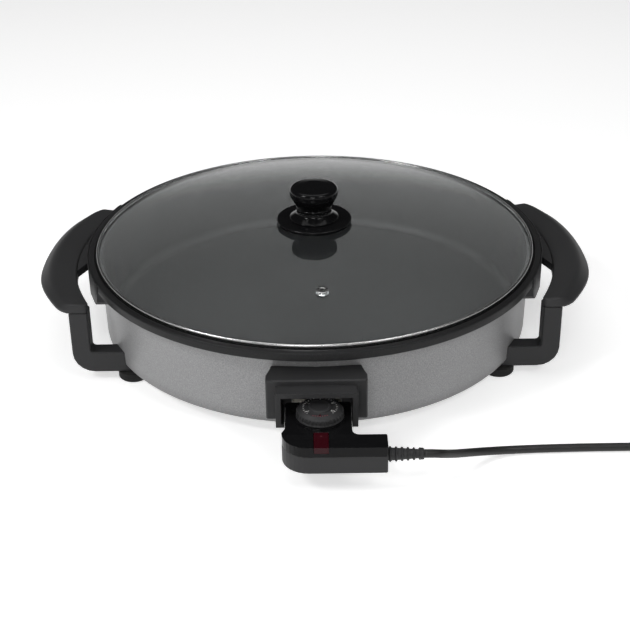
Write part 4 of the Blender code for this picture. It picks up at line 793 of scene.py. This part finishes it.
def grip_ring(y, side, inset):
    """One cross-section of a grip: crowned on top, full outside, nearly flat underneath."""
    along = abs(y)
    inner = math.sqrt(GRIP_INNER**2 - along**2) + inset
    outer = GRIP_CENTRE + math.sqrt(GRIP_ARC**2 - along**2) - inset
    past = along - (GRIP_HALF - GRIP_CORNER)
    if past > 0:
        turn_in = GRIP_CORNER - math.sqrt(max(0.0, GRIP_CORNER**2 - past**2))
        outer -= turn_in
        inner += turn_in
    blend = min(1.0, along / 0.084)
    ease = blend * blend * (3 - 2 * blend)
    bottom = 0.058 + 0.0105 * ease + inset
    top = GRIP_TOP - inset
    width = outer - inner
    height = top - bottom
    corners = [
        (inner, bottom, height / 6),
        (outer - width / 20, bottom, width / 6),
        (outer, bottom + height * 0.37, width / 12),
        (inner + width * 0.67, top, width / 3),
        (inner, top - height / 5, height / 6),
    ]
    return [(side * x, y, z) for x, z in rounded(corners, steps=5)]


def make_grip(side, word):
    stations = [-GRIP_HALF + 2 * GRIP_HALF * i / 60 for i in range(61)]
    rings = [(-GRIP_HALF, 0.0012), (-GRIP_HALF + 0.0004, 0.0005), (-GRIP_HALF + 0.0012, 0.0)]
    rings += [(y, 0.0) for y in stations[1:-1]]
    rings += [(GRIP_HALF - 0.0012, 0.0), (GRIP_HALF - 0.0004, 0.0005), (GRIP_HALF, 0.0012)]
    bm = bmesh.new()
    loops = [[bm.verts.new(p) for p in grip_ring(y, side, inset)] for y, inset in rings]
    for one, two in zip(loops, loops[1:]):
        for i in range(len(one)):
            bm.faces.new((one[i - 1], one[i], two[i], two[i - 1]))
    bm.faces.new(loops[0])
    bm.faces.new(loops[-1])
    grip = new_object(f"grip_{word}_shaped", bm)
    outward(grip)
    settle(grip, "pan", "moulded_black", moulded.material, angle=60)
    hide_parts(f"grip_{word}")


for side, word in ((-1, "left"), (1, "right")):
    make_grip(side, word)

# %% [markdown]
# The strain relief is a tapered rubber sleeve with ribs, so that the cord can bend there and not
# break. The sleeve is turned, and a second tree sets its ribs in a row along it.

# %% Strain relief
RELIEF_START = ARM_END + 0.0003
along_x = Matrix.Translation((RELIEF_START, RELIEF_Y, RELIEF_HEIGHT)) @ Matrix.Rotation(
    math.radians(90), 4, "Y",
)
sleeve_outline = rounded(
    [
        (0, 0, 0), (0.0050, 0, 0.0002), (0.0050, 0.004, 0.0), (0.0036, 0.024, 0.002),
        (0.0047, 0.0250, 0.0004), (0.0046, 0.028, 0.0010), (0, 0.028, 0),
    ],
    closed=False,
)
relief = turned("strain_relief_ribbed", sleeve_outline, moulded, 48)
ribs, start, end = tree_of("ribs_along_a_sleeve", Count=6, Length=0.023, Root=0.0062, Tip=0.0049, Finish=None)
row = add(ribs, "GeometryNodeMeshLine", {"mode": "OFFSET"}, Count=start.outputs["Count"])
share = add(ribs, "GeometryNodeInputIndex")
last = add(ribs, "ShaderNodeMath", {"operation": "SUBTRACT"})
ribs.links.new(start.outputs["Count"], last.inputs[0])
last.inputs[1].default_value = 1.0
part = add(ribs, "ShaderNodeMath", {"operation": "DIVIDE"})
ribs.links.new(share.outputs[0], part.inputs[0])
ribs.links.new(last.outputs[0], part.inputs[1])
away = add(ribs, "ShaderNodeMath", {"operation": "MULTIPLY"})
ribs.links.new(part.outputs[0], away.inputs[0])
ribs.links.new(start.outputs["Length"], away.inputs[1])
spot = add(ribs, "ShaderNodeCombineXYZ", Z=away.outputs[0])
placed = add(ribs, "GeometryNodeSetPosition", Geometry=row.outputs[0], Position=spot.outputs[0])
size = add(
    ribs, "ShaderNodeMapRange", Value=part.outputs[0], To_Min=start.outputs["Root"],
    To_Max=start.outputs["Tip"],
)
hoop = add(ribs, "GeometryNodeCurvePrimitiveCircle", Resolution=40, Radius=1.0)
bead = add(ribs, "GeometryNodeCurvePrimitiveCircle", Resolution=10, Radius=0.2)
ring = add(ribs, "GeometryNodeCurveToMesh", Curve=hoop.outputs[0], Profile_Curve=bead.outputs[0])
set_out = add(ribs, "ShaderNodeMath", {"operation": "MULTIPLY"})
ribs.links.new(size.outputs[0], set_out.inputs[0])
set_out.inputs[1].default_value = 1 / 1.2
many = add(
    ribs, "GeometryNodeInstanceOnPoints", Points=placed.outputs[0], Instance=ring.outputs[0],
    Scale=set_out.outputs[0],
)
close(ribs, start, end, many.outputs[0])
rib_row = grow(new_object("strain_relief_ribs", bmesh.new()), ribs, moulded, Count=6)
rib_row.data.transform(Matrix.Translation((0, 0, 0.0016)))
for made in (relief, rib_row):
    settle(made, "control", "moulded_black", moulded.material, angle=60, place=along_x)
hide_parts("strain_relief")
print("ribs on the relief, faces:", len(rib_row.data.polygons))

# %% [markdown]
# The dial has a knurled skirt for the fingers, a sunk ring with the printed scale and a raised hub.
# The body is turned, and the knurls are one small bar repeated round the skirt by a third tree.

# %% Dial
DIAL = Matrix.Translation((0.0025, -0.232, 0))
DIAL_LOW = 0.0453
DIAL_HIGH = 0.0531
dial_outline = rounded(
    [
        (0.0, DIAL_LOW, 0),
        (0.0193, DIAL_LOW, 0.0002),
        (0.0193, DIAL_LOW + 0.0012, 0.0004),
        (0.0184, DIAL_LOW + 0.0016, 0.0003),
        (0.0180, DIAL_LOW + 0.0052, 0.0008),
        (0.0150, DIAL_HIGH, 0.0006),
        (0.0144, DIAL_HIGH, 0.0003),
        (0.0141, DIAL_HIGH - 0.0006, 0.0002),
        (0.0094, DIAL_HIGH - 0.0006, 0.0002),
        (0.0089, DIAL_HIGH + 0.0008, 0.0006),
        (0.0076, DIAL_HIGH + 0.0012, 0.0010),
        (0.0068, DIAL_HIGH + 0.0004, 0.0008),
        (0.0, DIAL_HIGH + 0.0002, 0),
    ],
    closed=False,
    steps=5,
)
dial = turned("dial", dial_outline, moulded, 96)
settle(dial, "dial", "moulded_black", moulded.material, place=DIAL)
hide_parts("dial_knob")

knurls, start, end = tree_of(
    "knurls_round_a_skirt", Count=36, Radius=0.0182, Height=0.0034, Width=0.0013, Finish=None,
)
circle = add(
    knurls, "GeometryNodeMeshCircle", Vertices=start.outputs["Count"], Radius=start.outputs["Radius"],
)
box_size = add(knurls, "ShaderNodeCombineXYZ", X=0.0014, Y=start.outputs["Width"], Z=start.outputs["Height"])
bar = add(knurls, "GeometryNodeMeshCube", Size=box_size.outputs[0])
here = add(knurls, "GeometryNodeInputPosition")
face_out = add(knurls, "FunctionNodeAlignRotationToVector", {"axis": "X"}, Vector=here.outputs[0])
many = add(
    knurls, "GeometryNodeInstanceOnPoints", Points=circle.outputs[0], Instance=bar.outputs[0],
    Rotation=face_out.outputs[0],
)
close(knurls, start, end, many.outputs[0])
knurl_ring = grow(new_object("dial_knurls", bmesh.new()), knurls, moulded, Count=36)
knurl_ring.data.transform(Matrix.Translation((0, 0, DIAL_LOW + 0.0034)))
soft = knurl_ring.modifiers.new("soft", "BEVEL")
soft.width = 0.0003
soft.segments = 2
bake_modifiers(knurl_ring)
settle(knurl_ring, "dial", "moulded_black", moulded.material, place=DIAL)
print("knurls, faces:", len(knurl_ring.data.polygons))

# %% [markdown]
# The scale is a plain printed ring: white ticks, the numbers 1 to 5, and a red arc of ticks at the
# front for the low setting. Ticks come from a tree, and the numbers are text made into flat meshes.

# %% Dial scale
ticks, start, end = tree_of(
    "ticks_on_an_arc", Count=21, Radius=0.0134, Start=0.0, Sweep=1.0, Length=0.0012, Finish=None,
)
arc = add(
    ticks, "GeometryNodeCurveArc", {"mode": "RADIUS"}, Resolution=start.outputs["Count"],
    Radius=start.outputs["Radius"],
)
ticks.links.new(start.outputs["Start"], arc.inputs["Start Angle"])
ticks.links.new(start.outputs["Sweep"], arc.inputs["Sweep Angle"])
spots = add(ticks, "GeometryNodeCurveToPoints", {"mode": "EVALUATED"}, Curve=arc.outputs[0])
mark_size = add(ticks, "ShaderNodeCombineXYZ", X=start.outputs["Length"], Y=0.00032, Z=0.00012)
mark = add(ticks, "GeometryNodeMeshCube", Size=mark_size.outputs[0])
here = add(ticks, "GeometryNodeInputPosition")
face_out = add(ticks, "FunctionNodeAlignRotationToVector", {"axis": "X"}, Vector=here.outputs[0])
many = add(
    ticks, "GeometryNodeInstanceOnPoints", Points=spots.outputs[0], Instance=mark.outputs[0],
    Rotation=face_out.outputs[0],
)
close(ticks, start, end, many.outputs[0])
print_height = DIAL_HIGH - 0.0006 + 0.00006


def tick_row(name, finish, slot, count, first, sweep):
    made = grow(
        new_object(name, bmesh.new()), ticks, finish, Count=count, Start=math.radians(first), Sweep=math.radians(
            sweep,
        )
    )
    made.data.transform(Matrix.Translation((0, 0, print_height)))
    settle(made, "dial", slot, finish.material, place=DIAL)


tick_row("scale_white", white_print, "moulded_black", 25, -40, 260)
tick_row("scale_red", red_print, "red_lens", 7, -115, 50)
for number in range(1, 6):
    angle = math.radians(-30 + 60 * (number - 1))
    text = bpy.data.curves.new(f"number_{number}", "FONT")
    text.body = str(6 - number)
    text.size = 0.0044
    text.align_x = "CENTER"
    text.align_y = "CENTER"
    text.extrude = 0.00004
    holder = bpy.data.objects.new(f"scale_number_{number}", text)
    bpy.context.scene.collection.objects.link(holder)
    bpy.context.view_layer.update()
    mesh = bpy.data.meshes.new_from_object(holder.evaluated_get(bpy.context.evaluated_depsgraph_get()))
    bpy.data.objects.remove(holder, do_unlink=True)
    digit = bpy.data.objects.new(f"scale_number_{number}", mesh)
    bpy.context.scene.collection.objects.link(digit)
    spot = Matrix.Translation((0.0114 * math.cos(angle), 0.0114 * math.sin(angle), print_height))
    turn = spot @ Matrix.Rotation(angle - math.pi / 2, 4, "Z")
    settle(digit, "dial", "moulded_black", white_print.material, place=DIAL @ turn)

# %% [markdown]
# Screws hold the feet, the guard and the control's shells. Each head has a cross recess. A fourth
# tree puts one modelled screw head on each given point, with the head facing along a given axis.

# %% Screw heads
FOOT_X = 0.164
FOOT_Y = 0.093
screws, start, end = tree_of("screw_heads", Radius=0.0036, Turn_X=0.0, Turn_Y=0.0, Finish=None)
angle = add(screws, "ShaderNodeCombineXYZ", X=start.outputs["Turn_X"], Y=start.outputs["Turn_Y"])
rim = add(screws, "GeometryNodeMeshCone", Vertices=24, Radius_Top=0.86, Radius_Bottom=1.0, Depth=0.5)
slot_a = add(screws, "GeometryNodeMeshCube", Size=(1.1, 0.22, 0.5))
slot_b = add(screws, "GeometryNodeMeshCube", Size=(0.22, 1.1, 0.5))
lift_a = add(screws, "GeometryNodeTransform", Geometry=slot_a.outputs[0], Translation=(0, 0, 0.42))
lift_b = add(screws, "GeometryNodeTransform", Geometry=slot_b.outputs[0], Translation=(0, 0, 0.42))
cut_head = add(screws, "GeometryNodeMeshBoolean", {"operation": "DIFFERENCE"})
screws.links.new(rim.outputs[0], cut_head.inputs["Mesh 1"])
screws.links.new(lift_a.outputs[0], cut_head.inputs["Mesh 2"])
screws.links.new(lift_b.outputs[0], cut_head.inputs["Mesh 2"])
many = add(
    screws, "GeometryNodeInstanceOnPoints", Points=start.outputs["Geometry"],
    Instance=cut_head.outputs[0], Rotation=angle.outputs[0], Scale=start.outputs["Radius"],
)
close(screws, start, end, many.outputs[0])


def screw_heads(name, body, places, radius, turn_x, turn_y):
    bm = bmesh.new()
    for place in places:
        bm.verts.new(place)
    made = grow(new_object(name, bm), screws, stainless, Radius=radius, Turn_X=turn_x, Turn_Y=turn_y)
    settle(made, body, "bright_steel", stainless.material, angle=30)


half_turn = math.pi
foot_spots = [(side * FOOT_X, end * FOOT_Y) for side in (-1, 1) for end in (-1, 1)]
screw_heads("foot_screw_heads", "pan", [(x, y, 0.0017) for x, y in foot_spots], 0.0036, half_turn, 0.0)
screw_heads(
    "shell_screw_heads", "control", [(-0.010, -0.262, 0.0210), (0.043, -0.266, 0.0210)], 0.0029,
    half_turn, 0.0,
)
screw_heads(
    "guard_screw_heads", "pan", [(x, -0.2038, 0.0535) for x in (-0.018, 0.018)], 0.0034, math.pi / 2,
    0.0,
)

# %% [markdown]
# The feet are rubber pucks under the four legs. One puck is turned as an edge loop and repeated on
# the four places, with a well for the screw.

# %% Feet
foot_outline = rounded(
    [
        (0.0039, 0.0, 0.0004),
        (0.0125, 0.0, 0.0010),
        (0.0140, 0.0015, 0.0010),
        (0.0140, 0.0083, 0.0003),
        (0.0021, 0.0083, 0.0),
        (0.0021, 0.0038, 0.0),
        (0.0039, 0.0038, 0.0),
    ],
    steps=4,
)
for side, word in ((-1, "left"), (1, "right")):
    for end_sign, end_word in ((-1, "front"), (1, "rear")):
        foot = turned(f"foot_{end_word}_{word}", foot_outline, rubber, 64, True)
        spot = Matrix.Translation((side * FOOT_X, end_sign * FOOT_Y, 0))
        settle(foot, "pan", "foot_rubber", rubber.material, angle=45, place=spot)
        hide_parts(f"foot_pad_{end_word}_{word}")

# %% [markdown]
# The remaining solids keep the shape they have in the model. Each takes its finish from here.

# %% Finishes for the solids that stay
FINISHES = {
    "moulded_black": moulded,
    "polished_black": polished,
    "bright_steel": stainless,
    "element_steel": hot_steel,
    "contact_brass": brass,
    "terminal_ceramic": ceramic,
    "foot_rubber": rubber,
    "cord_sheath": sheath,
    "red_lens": red_lens,
    "lamp_glass": lamp_glass,
    "lid_glass": glass,
    "pan_body": coating,
}
slots = {part["node"]: part["material_slot"] for part in frame["record"]["subparts"]}
for name, obj in frame["nodes"].items():
    finish = FINISHES[slots[name]].material
    obj.data.materials.clear()
    obj.data.materials.append(finish)
print("finished solids:", len(slots))

# %% [markdown]
# The stage is a white floor in a white room. The camera and the glass see the room as it is. Mirrors
# see it white only near the ground, as in a studio whose backdrop ends low, and dark above that.
# Soft lamps stand at the left, the right and the front, a wide one hangs overhead, and two small
# ones give the polished parts their highlights.

# %% Stage and light
SWEEP_LOW = 0.0
SWEEP_TOP = 0.26
CEILING = 0.02
ROOM_LIGHT = 0.02
bm = bmesh.new()
corners = [bm.verts.new((x, y, 0)) for x, y in ((-6, -6), (6, -6), (6, 6), (-6, 6))]
bm.faces.new(corners)
floor = new_object("floor", bm)
floor_paint = Paint(
    "floor_paint", Roughness=0.9, Base_Color=(0.85, 0.85, 0.85, 1), Emission_Color=(1, 1, 1, 1),
)
rays = floor_paint.tree.nodes.new("ShaderNodeLightPath")
seen = floor_paint.node(
    "ShaderNodeMath", {"operation": "MAXIMUM"}, rays.outputs["Is Camera Ray"],
    rays.outputs["Is Glossy Ray"],
)
seen = floor_paint.node("ShaderNodeMath", {"operation": "MAXIMUM"}, seen, rays.outputs["Is Transmission Ray"])
shown = floor_paint.node("ShaderNodeMixRGB", None, seen, (0.0, 0.0, 0.0, 1.0), (0.55, 0.55, 0.55, 1.0))
floor_paint.set("Emission Color", shown)
floor_paint.shader.inputs["Emission Strength"].default_value = 1.0
floor.data.materials.append(floor_paint.material)

world = bpy.data.worlds.new("studio")
bpy.context.scene.world = world
world.use_nodes = True
sky_tree = world.node_tree
sky = sky_tree.nodes["Background"]
sky.inputs["Color"].default_value = (1, 1, 1, 1)


def sky_math(operation, one, two):
    made = sky_tree.nodes.new("ShaderNodeMath")
    made.operation = operation
    for socket, value in zip(made.inputs, (one, two)):
        if isinstance(value, (int, float)):
            socket.default_value = value
        else:
            sky_tree.links.new(value, socket)
    return made.outputs[0]


rays = sky_tree.nodes.new("ShaderNodeLightPath")
place = sky_tree.nodes.new("ShaderNodeTexCoord")
split = sky_tree.nodes.new("ShaderNodeSeparateXYZ")
sky_tree.links.new(place.outputs["Generated"], split.inputs[0])
edge = sky_tree.nodes.new("ShaderNodeMapRange")
edge.interpolation_type = "SMOOTHSTEP"
edge.inputs["From Min"].default_value = SWEEP_LOW
edge.inputs["From Max"].default_value = SWEEP_TOP
edge.inputs["To Min"].default_value = 1.0
edge.inputs["To Max"].default_value = CEILING
sky_tree.links.new(split.outputs[2], edge.inputs["Value"])
plain = sky_math("MAXIMUM", rays.outputs["Is Camera Ray"], rays.outputs["Is Transmission Ray"])
mirrored = sky_math("MULTIPLY", rays.outputs["Is Glossy Ray"], edge.outputs[0])
lit = sky_math("MAXIMUM", sky_math("MAXIMUM", plain, mirrored), ROOM_LIGHT)
sky_tree.links.new(lit, sky.inputs["Strength"])


def lamp(name, place, target, size, power):
    light = bpy.data.lights.new(name, "AREA")
    light.shape = "RECTANGLE"
    light.size, light.size_y = size
    light.energy = power
    made = bpy.data.objects.new(name, light)
    bpy.context.scene.collection.objects.link(made)
    made.location = place
    made.rotation_euler = (Vector(target) - Vector(place)).to_track_quat("-Z", "Y").to_euler()


lamp("left_box", (-1.3, -0.75, 1.5), (0, 0, 0.05), (0.5, 0.5), 12)
lamp("right_box", (0.9, -1.1, 1.5), (0, 0, 0.05), (0.5, 0.5), 6)
lamp("front_box", (-0.2, -1.7, 1.0), (0, -0.1, 0.04), (0.6, 0.4), 9)
lamp("overhead", (0, 0.3, 2.0), (0, 0, 0.05), (2.0, 1.5), 14)
lamp("left_glint", (-0.62, -0.40, 0.65), (0, -0.05, 0.08), (0.10, 0.10), 0.35)
lamp("right_glint", (0.62, -0.40, 0.65), (0, -0.05, 0.08), (0.10, 0.10), 0.35)
scene = bpy.context.scene
scene.view_settings.view_transform = "Standard"
bpy.context.view_layer.update()

# %% Final update
bpy.context.view_layer.update()
